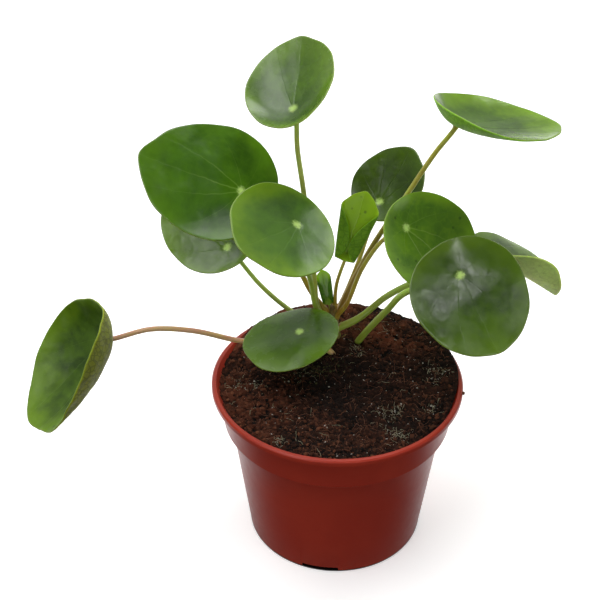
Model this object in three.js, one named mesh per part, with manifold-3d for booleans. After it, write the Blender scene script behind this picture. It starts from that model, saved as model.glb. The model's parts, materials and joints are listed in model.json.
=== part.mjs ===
/**
 * A potted chinese money plant: thirteen round, shield-stalked leaves on one short stem,
 * growing in soil in a round nursery pot. Millimetres, +Z up.
 *
 * The origin is the centre of the pot's flat underside. The pot's axis is Z, and the
 * plant's front, where most of its leaves turn, is -Y.
 */
import * as THREE from 'three';
import { mergeVertices } from 'three/addons/utils/BufferGeometryUtils.js';
import Module from 'manifold-3d';

const manifoldLibrary = await Module();
manifoldLibrary.setup();

// ---------------------------------------------------------------- driving dimensions

const CLEARANCE = 0.35; // air between two pieces that touch

const POT = {
  height: 86,
  rimRadius: 60,
  lipWidth: 2.2,
  lipHeight: 2.8, // of the rim's upright outer face
  flareHeight: 6.5, // the wall turns out to the rim over this height
  collarHeight: 20.5, // from the rim down to the ledge
  collarTopRadius: 55.2,
  collarFootRadius: 54.8,
  bodyTopRadius: 51.3,
  baseRadius: 43,
  wall: 1.4,
  floor: 1.8,
  edgeRound: 0.7,
  segments: 48,
};

const NOTCH = { count: 4, firstAngle: 259, width: 18, height: 2.6, reach: 3.5 };

const SOIL = {
  frontLevel: 83,
  wallGap: 0.5, // more than the clearance, because the pot's wall is faceted and flares
  heapRise: 5.5, // how far the soil heaps up towards the back right
  heapStart: -15,
  heapEnd: 42,
  heapHeading: 68,
  rings: 6,
  segments: 40,
};

const STEM = {
  foot: [2, 30, 76],
  top: [-2, 32, 106],
  footRadius: 2.8,
  topRadius: 1.5,
  rings: 4,
  segments: 12,
};

const BLADE = {
  thickness: 1.2,
  marginThickness: 0.8,
  rings: 4,
  rolledRings: 8, // a rolled blade is curved more tightly
  segments: 24,
  pointSpread: 0.25, // how much of the margin, in radians, the leaf's point takes
};

const STALK = {
  halfTurnSides: 5,
  stepLength: 7,
  neck: 5, // the last stretch, which runs square to the blade
  stemGap: 0.45,
  bladeGap: 0.45,
  footGap: 0.7, // under a foot that stands in the soil
};

/**
 * The leaves, from the oldest to the youngest.
 *
 * hub       where the stalk joins the blade, on its upper face
 * facing    azimuth and elevation of the direction that the upper face looks
 * tip       azimuth in which the leaf's point lies from the hub
 * length, width   of the blade laid flat
 * hubToBase distance from the hub back to the margin behind it
 * dish      how far the margin rises above the hub (negative: it droops)
 * saddle    extra rise at the point and the base, taken off at the two sides
 * taper     how much narrower the point half is than the base half
 * point     how far the point stands out of the round outline
 * droop     how far the point half bends down (negative: up)
 * lift      how far the left side, seen from the hub to the point, folds up (negative: the right)
 * roll      half width of the flat middle at the base and at the point, and the radius
 *           of the sides that roll over it
 * stalk     its radius and the places it passes; it starts at a height on the stem, on the
 *           side given by its heading, or at a foot of its own that stands in the soil
 */
const LEAVES = [
  {
    name: 'left_drooping', hub: [-109.5, 0, 109.5], facing: [-142, 31], tip: -119,
    length: 63, width: 61.5, hubToBase: 16.5, dish: 12, saddle: 2.5, taper: 0.05, point: 2,
    droop: -15, lift: 21,
    stalk: {
      radius: 1.35, foot: [2, 19, 80], neck: 3,
      via: [[-6, 19, 90], [-18, 17, 93], [-45, 12, 99], [-69, 7, 109], [-88, 4, 112]],
    },
  },
  {
    name: 'front_right', hub: [54.5, -2.5, 147], facing: [-86, 50], tip: -62,
    length: 57, width: 53, hubToBase: 17.5, dish: 2, saddle: 0, taper: 0.08, point: 1,
    stalk: { radius: 1.6, foot: [9, 31, 81], via: [[13.5, 22, 96], [23, 10, 118.5], [31.5, -1, 137]] },
  },
  {
    name: 'left_behind', hub: [-54, 58, 123], facing: [-109, 42], tip: 127,
    length: 55, width: 51, hubToBase: 11, dish: 2, saddle: 0.5, taper: 0.03, point: 1,
    stalk: {
      radius: 1.2, height: 15.5, heading: 165,
      via: [[-14, 37, 93], [-25, 42, 98], [-38, 49, 107]],
    },
  },
  {
    name: 'far_right', hub: [78, 48.5, 126.5], facing: [-14, 64], tip: -15,
    length: 52.5, width: 49, hubToBase: 15, dish: -1.5, saddle: 1.5, taper: -0.1, point: 0.5,
    droop: 2, lift: -22,
    stalk: {
      radius: 1.6, height: 17, heading: 5,
      via: [[11.5, 31.5, 99], [24, 34, 109.5], [36, 38, 114.5], [55, 43, 120]],
    },
  },
  {
    name: 'front_low', hub: [-18, 5, 110], facing: [-163, 76], tip: -177,
    length: 46, width: 44, hubToBase: 18.5, dish: -2.5, saddle: 1, taper: -0.05, point: 0.5,
    stalk: { radius: 1.2, height: 14, heading: 265, via: [[-7, 19, 98]] },
  },
  {
    name: 'right_high', hub: [54, 45, 199], facing: [32, 71], tip: 7,
    length: 60, width: 57, hubToBase: 13, dish: 8, saddle: 1, taper: -0.04, point: 1.5,
    stalk: {
      radius: 1.3, height: 22, heading: 50,
      via: [[7, 36, 115], [17, 39.5, 135.5], [32.5, 44, 161], [45, 44.5, 184]],
    },
  },
  {
    name: 'back', hub: [21, 62, 147], facing: [-129, 49], tip: 42,
    length: 39.5, width: 37.5, hubToBase: 10, dish: 3, saddle: 0, taper: 0.07, point: 1,
    stalk: { radius: 1.1, height: 22, heading: 110, via: [[5, 42, 107], [11, 48, 121], [16, 55, 134]] },
  },
  {
    name: 'right_middle', hub: [32, 30, 152], facing: [-50, 47], tip: -15,
    length: 54.5, width: 52, hubToBase: 12, dish: 3, saddle: -2, taper: 0.02, point: 1,
    stalk: { radius: 1.1, height: 24, heading: 350, via: [[5, 28, 110], [12, 29, 130], [22, 31, 145]] },
  },
  {
    name: 'left_big', hub: [-45, 35, 169], facing: [-69, 57], tip: 173,
    length: 64.5, width: 61, hubToBase: 16.5, dish: 1.5, saddle: 0.5, taper: 0.1, point: 2,
    stalk: {
      radius: 1.3, height: 23, heading: 158,
      via: [[-11.5, 35, 110.5], [-23, 35, 136], [-36, 36, 156]],
    },
  },
  {
    name: 'middle', hub: [-19, 2, 171], facing: [-34, 58], tip: -133,
    length: 52, width: 49, hubToBase: 15.5, dish: 2, saddle: 0, taper: 0.03, point: 1,
    stalk: {
      radius: 1.2, height: 21, heading: 235,
      via: [[-9.5, 26, 108], [-13, 22, 128], [-17.5, 14, 146], [-19, 8, 160]],
    },
  },
  {
    name: 'top', hub: [-21, 35, 211], facing: [-135, 49], tip: 77,
    length: 46, width: 44, hubToBase: 12.5, dish: 7, saddle: -1, taper: 0.03, point: 1,
    stalk: {
      radius: 1.1, height: 17, heading: 200,
      via: [[-9, 31, 105], [-11, 32, 123], [-16.5, 34, 172], [-18.5, 35, 190]],
    },
  },
  {
    name: 'young', hub: [4.5, 30, 138], facing: [-100, 25], tip: 52,
    length: 34, width: 21.5, hubToBase: 4, dish: 1, saddle: 0, taper: -0.1, point: 0.5,
    roll: { baseHalf: 1.1, tipHalf: 8, radius: 2.1 },
    stalk: { radius: 0.9, height: 27, heading: 50, neck: 3, via: [[0, 32, 119]] },
  },
  {
    name: 'bud', hub: [-4, 32, 108], facing: [-90, 20], tip: 120,
    length: 17.5, width: 9, hubToBase: 1.5, dish: 0, saddle: 0, taper: 0, point: 0.5,
    roll: { baseHalf: 0.8, tipHalf: 2.4, radius: 0.8 },
    stalk: { radius: 0.7, height: 28, heading: 150, neck: 1.5, via: [] },
  },
];

// ---------------------------------------------------------------- materials

function finish(name, color, roughness) {
  return new THREE.MeshStandardMaterial({ name, color, roughness, metalness: 0 });
}

const potPlastic = () => finish('terracotta_plastic', 0x8f3426, 0.45);
const pottingSoil = () => finish('potting_soil', 0x35211a, 1);
const stemBark = () => finish('stem_skin', 0x7a7a34, 0.7);
const leafGreen = () => finish('leaf_skin', 0x3f6b1d, 0.35);
const youngGreen = () => finish('young_leaf_skin', 0x6f9a20, 0.4);
const stalkGreen = () => finish('stalk_skin', 0x7f8a3c, 0.5);

// ---------------------------------------------------------------- small helpers

const radians = THREE.MathUtils.degToRad;

function direction(azimuth, elevation) {
  const flat = Math.cos(radians(elevation));
  return new THREE.Vector3(
    flat * Math.cos(radians(azimuth)),
    flat * Math.sin(radians(azimuth)),
    Math.sin(radians(elevation)),
  );
}

function smoothStep(from, to, value) {
  const share = THREE.MathUtils.clamp((value - from) / (to - from), 0, 1);
  return share * share * (3 - 2 * share);
}

function indexedGeometry(points, triangles) {
  const geometry = new THREE.BufferGeometry();
  geometry.setAttribute('position', new THREE.Float32BufferAttribute(points.flatMap((p) => p.toArray()), 3));
  geometry.setIndex(triangles);
  geometry.computeVertexNormals();
  return geometry;
}

/** Joins two neighbouring closed rings of vertices, the second one outwards or downwards. */
function stitchRings(triangles, firstStart, secondStart, count) {
  for (let i = 0; i < count; i += 1) {
    const next = (i + 1) % count;
    triangles.push(firstStart + i, secondStart + i, secondStart + next);
    triangles.push(firstStart + i, secondStart + next, firstStart + next);
  }
}

function toSolid(geometry) {
  const bare = geometry.clone();
  bare.deleteAttribute('normal');
  bare.deleteAttribute('uv');
  const merged = mergeVertices(bare, 1e-4);
  const mesh = new manifoldLibrary.Mesh({
    numProp: 3,
    vertProperties: new Float32Array(merged.attributes.position.array),
    triVerts: new Uint32Array(merged.index.array),
  });
  return new manifoldLibrary.Manifold(mesh);
}

function toGeometry(solid) {
  const mesh = solid.getMesh();
  const geometry = new THREE.BufferGeometry();
  geometry.setAttribute('position', new THREE.BufferAttribute(Float32Array.from(mesh.vertProperties), 3));
  geometry.setIndex(new THREE.BufferAttribute(Uint32Array.from(mesh.triVerts), 1));
  geometry.computeVertexNormals();
  return geometry;
}

function named(name, geometry, material) {
  const mesh = new THREE.Mesh(geometry, material);
  mesh.name = name;
  return mesh;
}

// ---------------------------------------------------------------- pot

const LEDGE_HEIGHT = POT.height - POT.collarHeight;

function potOuterRadius(z) {
  return THREE.MathUtils.mapLinear(z, 0, LEDGE_HEIGHT, POT.baseRadius, POT.bodyTopRadius);
}

/** The pot's inside as [radius, height] corners, from the floor up to the rim. */
function potInnerCorners() {
  const flareFoot = POT.height - POT.flareHeight + POT.wall;
  return [
    [potOuterRadius(POT.floor) - POT.wall, POT.floor],
    [potOuterRadius(LEDGE_HEIGHT - POT.wall) - POT.wall, LEDGE_HEIGHT - POT.wall],
    [POT.collarFootRadius - POT.wall, LEDGE_HEIGHT + POT.wall],
    [POT.collarTopRadius - POT.wall, flareFoot],
    [POT.rimRadius - POT.lipWidth - POT.wall, POT.height - POT.lipHeight],
    [POT.rimRadius - POT.lipWidth, POT.height],
  ];
}

/** The pot's outside as [radius, height] corners, from the underside's edge up to the rim. */
function potOuterCorners() {
  const round = POT.edgeRound;
  const lipFoot = POT.height - POT.lipHeight;
  return [
    [POT.baseRadius - round, 0],
    [POT.baseRadius, round],
    [POT.bodyTopRadius, LEDGE_HEIGHT - round],
    [POT.collarFootRadius - round, LEDGE_HEIGHT],
    [POT.collarFootRadius, LEDGE_HEIGHT + round],
    [POT.collarTopRadius, POT.height - POT.flareHeight],
    [POT.rimRadius - POT.lipWidth, lipFoot - POT.wall],
    [POT.rimRadius, lipFoot],
    [POT.rimRadius, POT.height - round],
    [POT.rimRadius - round, POT.height],
  ];
}

/** Radius of the pot's inside at a height between its floor and its rim. */
function potInnerRadius(height) {
  const corners = potInnerCorners();
  const upper = corners.findIndex(([, z]) => z >= height);
  const [topRadius, topHeight] = corners[Math.max(upper, 1)];
  const [footRadius, footHeight] = corners[Math.max(upper, 1) - 1];
  return THREE.MathUtils.mapLinear(height, footHeight, topHeight, footRadius, topRadius);
}

function potShell() {
  const profile = [[0, 0], ...potOuterCorners(), ...potInnerCorners().reverse(), [0, POT.floor]];
  const geometry = new THREE.LatheGeometry(profile.map(([r, z]) => new THREE.Vector2(r, z)), POT.segments);
  return geometry.rotateX(Math.PI / 2);
}

/** A low slot cut through the foot of the wall, for water to drain. */
function drainageNotch(angle) {
  const slot = new THREE.BoxGeometry(NOTCH.reach * 2, NOTCH.width, NOTCH.height * 2);
  slot.translate(POT.baseRadius, 0, 0);
  return slot.rotateZ(radians(angle));
}

function pot() {
  let solid = toSolid(potShell());
  for (let i = 0; i < NOTCH.count; i += 1) {
    const angle = NOTCH.firstAngle + (i * 360) / NOTCH.count;
    solid = solid.subtract(toSolid(drainageNotch(angle)));
  }
  return named('pot', toGeometry(solid), potPlastic());
}

// ---------------------------------------------------------------- soil and stem

/** Height of the soil: level in front, heaped up towards the back right. */
function soilHeight(x, y) {
  const heading = radians(SOIL.heapHeading);
  const along = x * Math.cos(heading) + y * Math.sin(heading);
  return SOIL.frontLevel + SOIL.heapRise * smoothStep(SOIL.heapStart, SOIL.heapEnd, along);
}

function ringOfPoints(radius, segments, heightAt) {
  return Array.from({ length: segments }, (_, i) => {
    const turn = (i / segments) * 2 * Math.PI;
    const x = radius * Math.cos(turn);
    const y = radius * Math.sin(turn);
    return new THREE.Vector3(x, y, heightAt(x, y));
  });
}

function soilBody() {
  const floor = POT.floor + CLEARANCE;
  const edgeRadius = potInnerRadius(SOIL.frontLevel) - SOIL.wallGap;
  const points = [new THREE.Vector3(0, 0, soilHeight(0, 0))];
  for (let ring = 1; ring <= SOIL.rings; ring += 1) {
    points.push(...ringOfPoints((edgeRadius * ring) / SOIL.rings, SOIL.segments, soilHeight));
  }
  const [bottomCorner, ...wallCorners] = potInnerCorners().slice(0, 4); // below the flare
  const sideCorners = [...wallCorners.reverse(), [bottomCorner[0], floor]];
  for (const [radius, z] of sideCorners) {
    points.push(...ringOfPoints(radius - SOIL.wallGap, SOIL.segments, () => z));
  }
  points.push(new THREE.Vector3(0, 0, floor));

  const triangles = [];
  const ringCount = SOIL.rings + sideCorners.length;
  const lastRing = 1 + (ringCount - 1) * SOIL.segments;
  for (let i = 0; i < SOIL.segments; i += 1) {
    const next = (i + 1) % SOIL.segments;
    triangles.push(0, 1 + i, 1 + next);
    triangles.push(points.length - 1, lastRing + next, lastRing + i);
  }
  for (let ring = 0; ring < ringCount - 1; ring += 1) {
    stitchRings(triangles, 1 + ring * SOIL.segments, 1 + (ring + 1) * SOIL.segments, SOIL.segments);
  }
  return indexedGeometry(points, triangles);
}

const stemFoot = new THREE.Vector3(...STEM.foot);
const stemTop = new THREE.Vector3(...STEM.top);
const stemLength = stemFoot.distanceTo(stemTop);

function stemRadiusAt(share) {
  return THREE.MathUtils.lerp(STEM.footRadius, STEM.topRadius, share);
}

/** The short leaning stem, thickened by extra for the hole it stands in. */
function stemBody(extra = 0) {
  const profile = [new THREE.Vector2(0, -extra)];
  for (let ring = 0; ring <= STEM.rings; ring += 1) {
    const share = ring / STEM.rings;
    const radius = stemRadiusAt(share) + extra;
    profile.push(new THREE.Vector2(radius, share * (stemLength + 2 * extra) - extra));
  }
  profile.push(new THREE.Vector2(0, stemLength + extra));
  const geometry = new THREE.LatheGeometry(profile, STEM.segments);
  const upright = new THREE.Vector3(0, 1, 0);
  const lean = new THREE.Quaternion().setFromUnitVectors(upright, stemTop.clone().sub(stemFoot).normalize());
  return geometry.applyQuaternion(lean).translate(...STEM.foot);
}

function soil() {
  let solid = toSolid(soilBody()).subtract(toSolid(stemBody(CLEARANCE)));
  for (const leaf of LEAVES.filter(({ stalk }) => stalk.foot)) {
    solid = solid.subtract(toSolid(stalkHole(leaf)));
  }
  return named('soil', toGeometry(solid), pottingSoil());
}

function mainStem() {
  return named('main_stem', mergeVertices(stemBody()), stemBark());
}

// ---------------------------------------------------------------- leaves

/** The blade's own directions: x to the point, y across, z out of the upper face. */
function bladeFrame(leaf) {
  const up = direction(...leaf.facing);
  const heading = direction(leaf.tip, 0);
  heading.z = -(up.x * heading.x + up.y * heading.y) / up.z;
  const along = heading.normalize();
  const across = new THREE.Vector3().crossVectors(up, along);
  return new THREE.Matrix4().makeBasis(along, across, up).setPosition(...leaf.hub);
}

/** Where the margin lies at a turn around the blade's middle, in the flat blade. */
function marginPoint(leaf, turn) {
  const halfLength = leaf.length / 2;
  const offset = halfLength - leaf.hubToBase;
  const fromTip = Math.min(turn, 2 * Math.PI - turn) / BLADE.pointSpread;
  const along = offset + halfLength * Math.cos(turn) + leaf.point * Math.exp(-fromTip * fromTip);
  const across = (leaf.width / 2) * Math.sin(turn) * (1 - leaf.taper * Math.cos(turn));
  return new THREE.Vector2(along, across);
}

/** Rolls the sides of a young blade over its middle, and leaves a grown one as it is. */
function rollOver(leaf, along, across) {
  if (!leaf.roll) {
    return { across, rise: 0 };
  }
  const { baseHalf, tipHalf, radius } = leaf.roll;
  const share = THREE.MathUtils.clamp((along + leaf.hubToBase) / leaf.length, 0, 1);
  const half = THREE.MathUtils.lerp(baseHalf, tipHalf, share ** 2);
  const rest = Math.abs(across) - half;
  const halfTurn = Math.PI * radius;
  const side = Math.sign(across);
  if (rest <= 0) {
    return { across, rise: 0 };
  }
  if (rest <= halfTurn) {
    const turn = rest / radius;
    return { across: side * (half + radius * Math.sin(turn)), rise: radius * (1 - Math.cos(turn)) };
  }
  return { across: side * (half - (rest - halfTurn)), rise: 2 * radius };
}

/** A point of the upper face: share runs from 0 at the hub to 1 at the margin. */
function upperFacePoint(leaf, share, turn) {
  const edge = marginPoint(leaf, turn);
  const along = edge.x * share;
  const flat = edge.y * share;
  const { across, rise } = rollOver(leaf, along, flat);
  const alongShare = along / (leaf.length / 2);
  const acrossShare = flat / (leaf.width / 2);
  const droop = (leaf.droop ?? 0) * Math.max(0, along / leaf.length) ** 2;
  const lift = leaf.lift ?? 0;
  const folded = Math.abs(lift) * Math.max(0, Math.sign(lift) * acrossShare) ** 2;
  const cup = leaf.dish * share * share + leaf.saddle * (alongShare ** 2 - acrossShare ** 2);
  return new THREE.Vector3(along, across, cup - droop + folded + rise);
}

function upperFaceNormal(leaf, share, turn) {
  const step = 0.02; // of the share and of the turn
  const near = Math.max(share, 0.1); // the face has no direction around the hub itself
  const outwards = upperFacePoint(leaf, near + step, turn).sub(upperFacePoint(leaf, near - step, turn));
  const around = upperFacePoint(leaf, near, turn + step).sub(upperFacePoint(leaf, near, turn - step));
  return outwards.cross(around).normalize();
}

function bladeGeometry(leaf) {
  const upper = [new THREE.Vector3(0, 0, 0)];
  const lower = [new THREE.Vector3(0, 0, -BLADE.thickness)];
  const rings = leaf.roll ? BLADE.rolledRings : BLADE.rings;
  for (let ring = 1; ring <= rings; ring += 1) {
    const share = ring / rings;
    const thickness = THREE.MathUtils.lerp(BLADE.thickness, BLADE.marginThickness, share);
    for (let i = 0; i < BLADE.segments; i += 1) {
      const turn = (i / BLADE.segments) * 2 * Math.PI;
      const point = upperFacePoint(leaf, share, turn);
      upper.push(point);
      lower.push(point.clone().addScaledVector(upperFaceNormal(leaf, share, turn), -thickness));
    }
  }
  const triangles = [];
  const lowerStart = upper.length;
  for (let i = 0; i < BLADE.segments; i += 1) {
    const next = (i + 1) % BLADE.segments;
    triangles.push(0, 1 + i, 1 + next);
    triangles.push(lowerStart, lowerStart + 1 + next, lowerStart + 1 + i);
  }
  for (let ring = 0; ring < rings - 1; ring += 1) {
    const inner = 1 + ring * BLADE.segments;
    const outer = inner + BLADE.segments;
    stitchRings(triangles, inner, outer, BLADE.segments);
    stitchRings(triangles, lowerStart + outer, lowerStart + inner, BLADE.segments);
  }
  const margin = 1 + (rings - 1) * BLADE.segments;
  stitchRings(triangles, margin, lowerStart + margin, BLADE.segments);
  return indexedGeometry([...upper, ...lower], triangles).applyMatrix4(bladeFrame(leaf));
}

/** Where a stalk starts: in the soil, or on the side of the stem. */
function stalkFoot(leaf) {
  const { foot, height, heading, radius, via } = leaf.stalk;
  if (foot) {
    return new THREE.Vector3(...foot);
  }
  const share = height / stemLength;
  const outwards = direction(heading, 0);
  const axisPoint = stemFoot.clone().lerp(stemTop, share);
  const surface = axisPoint.addScaledVector(outwards, stemRadiusAt(share) + STALK.stemGap);
  const start = new THREE.Vector3(...(via[0] ?? leaf.hub)).sub(surface).normalize();
  const spread = radius * Math.sqrt(1 - start.dot(outwards) ** 2); // of the tube's end, towards the stem
  return surface.addScaledVector(outwards, spread);
}

/** The stalk's middle line, from its foot to just under the blade. */
function stalkPath(leaf) {
  const hub = new THREE.Vector3(...leaf.hub);
  const up = direction(...leaf.facing);
  const end = hub.clone().addScaledVector(up, -BLADE.thickness - STALK.bladeGap);
  const neck = hub.clone().addScaledVector(up, -BLADE.thickness - (leaf.stalk.neck ?? STALK.neck));
  const places = leaf.stalk.via.map((place) => new THREE.Vector3(...place));
  return new THREE.CatmullRomCurve3([stalkFoot(leaf), ...places, neck, end]);
}

function tubeAlong(path, radius) {
  const section = new THREE.Shape();
  section.absarc(0, 0, radius, 0, 2 * Math.PI);
  const steps = Math.max(4, Math.round(path.getLength() / STALK.stepLength));
  return new THREE.ExtrudeGeometry(section, {
    steps, curveSegments: STALK.halfTurnSides, bevelEnabled: false, extrudePath: path,
  });
}

function stalkGeometry(leaf) {
  return tubeAlong(stalkPath(leaf), leaf.stalk.radius);
}

/** The hole in the soil that a stalk with a foot of its own stands in. */
function stalkHole(leaf) {
  const foot = stalkFoot(leaf);
  const firstPlace = new THREE.Vector3(...leaf.stalk.via[0]);
  const below = foot.clone().sub(firstPlace).setLength(STALK.footGap).add(foot);
  const path = stalkPath(leaf);
  path.points[0] = below;
  path.updateArcLengths();
  return tubeAlong(path, leaf.stalk.radius + CLEARANCE);
}

function leafPieces(leaf) {
  const bladeMaterial = leaf.roll ? youngGreen() : leafGreen();
  return [
    named(`leaf_${leaf.name}_blade`, bladeGeometry(leaf), bladeMaterial),
    named(`leaf_${leaf.name}_stalk`, stalkGeometry(leaf), stalkGreen()),
  ];
}

// ---------------------------------------------------------------- the whole plant

const plant = new THREE.Group();
plant.name = 'potted_chinese_money_plant';
plant.add(pot(), soil(), mainStem());
for (const leaf of LEAVES) {
  plant.add(...leafPieces(leaf));
}

export default plant;
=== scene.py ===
"""Looks of a potted chinese money plant: thirteen shield-stalked leaves in a nursery pot.

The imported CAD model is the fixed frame. Every piece that shows is built here at the
same place as the CAD node it stands for, in metres, and rides on the one body.
"""

import json
import logging
import math
import random
from dataclasses import dataclass, field
from enum import Enum
from functools import cache
from typing import Sequence

import bpy
import numpy as np
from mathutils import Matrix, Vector, noise

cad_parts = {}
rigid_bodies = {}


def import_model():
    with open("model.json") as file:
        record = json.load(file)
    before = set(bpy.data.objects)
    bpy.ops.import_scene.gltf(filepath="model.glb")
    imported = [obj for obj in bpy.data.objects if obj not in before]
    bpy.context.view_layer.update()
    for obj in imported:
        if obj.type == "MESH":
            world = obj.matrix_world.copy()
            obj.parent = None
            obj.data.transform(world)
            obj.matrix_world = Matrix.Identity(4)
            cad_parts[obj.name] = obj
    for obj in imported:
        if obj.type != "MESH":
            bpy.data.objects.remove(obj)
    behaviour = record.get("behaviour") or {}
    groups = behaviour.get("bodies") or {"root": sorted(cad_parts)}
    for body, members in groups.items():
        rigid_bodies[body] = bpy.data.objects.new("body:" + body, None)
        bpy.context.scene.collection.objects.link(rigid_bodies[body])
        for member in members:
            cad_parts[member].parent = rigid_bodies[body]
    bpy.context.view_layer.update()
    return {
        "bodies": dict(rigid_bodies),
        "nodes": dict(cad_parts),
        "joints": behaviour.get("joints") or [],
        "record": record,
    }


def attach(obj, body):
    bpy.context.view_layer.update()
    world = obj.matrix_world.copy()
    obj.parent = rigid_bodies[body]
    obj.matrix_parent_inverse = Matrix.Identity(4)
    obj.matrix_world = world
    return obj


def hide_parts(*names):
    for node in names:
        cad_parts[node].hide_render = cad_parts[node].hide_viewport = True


LOG = logging.getLogger("money_plant")

MM = 0.001
BODY = "root"
FLAT_MAP_MM = 100.0  # one unit of a blade's flat map

Rgb = tuple[int, int, int]
Place = tuple[float, float, float]
ShaderColour = tuple[float, float, float, float]


# ------------------------------------------------------------------ small helpers


def srgb(red: int, green: int, blue: int) -> ShaderColour:
    """Turns a screen colour, 0 to 255, into the linear colour that shaders take.

    Args:
        red: the red part.
        green: the green part.
        blue: the blue part.

    Returns:
        Linear red, green and blue, and an alpha of one.
    """

    def linear(value: int) -> float:
        """Undoes the screen's curve for one part."""
        share = value / 255
        return share / 12.92 if share <= 0.04045 else ((share + 0.055) / 1.055) ** 2.4

    return (linear(red), linear(green), linear(blue), 1.0)


def smooth_step(start: float, end: float, value: np.ndarray | float) -> np.ndarray | float:
    """Rises softly from 0 to 1 as the value goes from start to end.

    Args:
        start: where the rise begins.
        end: where the rise is complete.
        value: a number or an array of them.

    Returns:
        The risen share, shaped like the value.
    """
    share = np.clip((value - start) / (end - start), 0.0, 1.0)
    return share * share * (3.0 - 2.0 * share)


def direction(azimuth: float, elevation: float) -> Vector:
    """Gives the unit vector of an azimuth and an elevation.

    Args:
        azimuth: degrees from +X towards +Y.
        elevation: degrees above the floor.

    Returns:
        The unit vector.
    """
    flat = math.cos(math.radians(elevation))
    across = math.radians(azimuth)
    return Vector((flat * math.cos(across), flat * math.sin(across), math.sin(math.radians(elevation))))


def deselect_all() -> None:
    """Leaves nothing selected, so that an operator acts on new work alone."""
    if bpy.context.object and bpy.context.object.mode != "OBJECT":
        bpy.ops.object.mode_set(mode="OBJECT")
    bpy.ops.object.select_all(action="DESELECT")


def select_only(*pieces: bpy.types.Object) -> None:
    """Selects some objects and nothing else.

    Args:
        pieces: the objects, of which the first becomes the active one.
    """
    deselect_all()
    for piece in pieces:
        piece.select_set(True)
    bpy.context.view_layer.objects.active = pieces[0]


def take(name: str) -> bpy.types.Object:
    """Names the object that an operator just made, and its mesh.

    Args:
        name: the piece's name.

    Returns:
        The named object.
    """
    piece = bpy.context.object
    piece.name = name
    piece.data.name = name
    return piece


def settle(piece: bpy.types.Object) -> None:
    """Puts the object at the origin, unturned and unscaled, with its place in its mesh."""
    select_only(piece)
    bpy.ops.object.transform_apply(location=True, rotation=True, scale=True)


def apply_modifier(piece: bpy.types.Object, kind: str, **settings: object) -> None:
    """Adds one modifier with its settings and applies it.

    Args:
        piece: the mesh object.
        kind: the modifier's type, such as BEVEL.
        settings: its properties by name.
    """
    select_only(piece)
    modifier = piece.modifiers.new(kind.lower(), kind)
    for key, value in settings.items():
        setattr(modifier, key, value)
    bpy.ops.object.modifier_apply(modifier=modifier.name)


def shade_smooth(piece: bpy.types.Object, degrees: float) -> None:
    """Shades a piece smooth, with its edges sharper than the angle kept."""
    select_only(piece)
    bpy.ops.object.shade_smooth_by_angle(angle=math.radians(degrees))


def vertex_array(piece: bpy.types.Object) -> np.ndarray:
    """Reads a mesh's vertices.

    Args:
        piece: the mesh object.

    Returns:
        One row for each vertex.
    """
    flat = np.empty(len(piece.data.vertices) * 3)
    piece.data.vertices.foreach_get("co", flat)
    return flat.reshape(-1, 3)


def write_vertices(piece: bpy.types.Object, places: np.ndarray) -> None:
    """Writes an array of rows back as a mesh's vertices."""
    piece.data.vertices.foreach_set("co", places.astype(np.float32).ravel())
    piece.data.update()


def write_attribute(piece: bpy.types.Object, name: str, values: np.ndarray) -> None:
    """Stores one number for each vertex under a name that materials can read."""
    layer = piece.data.attributes.new(name, "FLOAT", "POINT")
    layer.data.foreach_set("value", values.astype(np.float32))


def write_uv(piece: bpy.types.Object, flat: np.ndarray) -> None:
    """Replaces a mesh's UV map by one flat place for each vertex.

    Args:
        piece: the mesh object.
        flat: two columns, one row for each vertex.
    """
    mesh = piece.data
    while mesh.uv_layers:
        mesh.uv_layers.remove(mesh.uv_layers[0])
    layer = mesh.uv_layers.new(name="flat")
    corners = np.empty(len(mesh.loops), dtype=np.int32)
    mesh.loops.foreach_get("vertex_index", corners)
    layer.data.foreach_set("uv", flat[corners].astype(np.float32).ravel())


def hand_over(piece: bpy.types.Object, slot: str, *nodes: str) -> None:
    """Seats a finished piece on the frame.

    Args:
        piece: the finished object.
        slot: the record's material slot; not used.
        nodes: the CAD nodes it stands for.
    """
    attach(piece, BODY)
    if nodes:
        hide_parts(*nodes)
    stands_for = ", ".join(nodes) or "nothing"
    LOG.info("%s: %d faces, stands for %s", piece.name, len(piece.data.polygons), stands_for)


# ------------------------------------------------------------------ node helpers


class Signal:
    """A node's output. A sum or product with it adds one Math node behind it."""

    def __init__(self, graph: "Graph", socket: bpy.types.NodeSocket) -> None:
        """Keeps the graph and the output socket."""
        self.graph = graph
        self.socket = socket

    def __add__(self, other: object) -> "Signal":
        """Adds a number or a signal."""
        return self.graph.math("ADD", self, other)

    def __sub__(self, other: object) -> "Signal":
        """Takes a number or a signal away."""
        return self.graph.math("SUBTRACT", self, other)

    def __rsub__(self, other: float) -> "Signal":
        """Takes the signal away from a number."""
        return self.graph.math("SUBTRACT", other, self)

    def __mul__(self, other: object) -> "Signal":
        """Multiplies by a number or a signal."""
        return self.graph.math("MULTIPLY", self, other)

    def __truediv__(self, other: object) -> "Signal":
        """Divides by a number or a signal."""
        return self.graph.math("DIVIDE", self, other)

    def clamped(self) -> "Signal":
        """Keeps what its Math node gives between 0 and 1."""
        self.socket.node.use_clamp = True
        return self

    def ramp(self, start: float, end: float, low: object = 0.0, high: object = 1.0) -> "Signal":
        """Maps the signal smoothly from one range to another.

        Args:
            start: what becomes low.
            end: what becomes high.
            low: the first end of the new range.
            high: the other end of the new range.

        Returns:
            The mapped signal.
        """
        made = self.graph.node("ShaderNodeMapRange", interpolation_type="SMOOTHSTEP")
        self.graph.give(made, Value=self, From_Min=start, From_Max=end, To_Min=low, To_Max=high)
        return Signal(self.graph, made.outputs[0])


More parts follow.
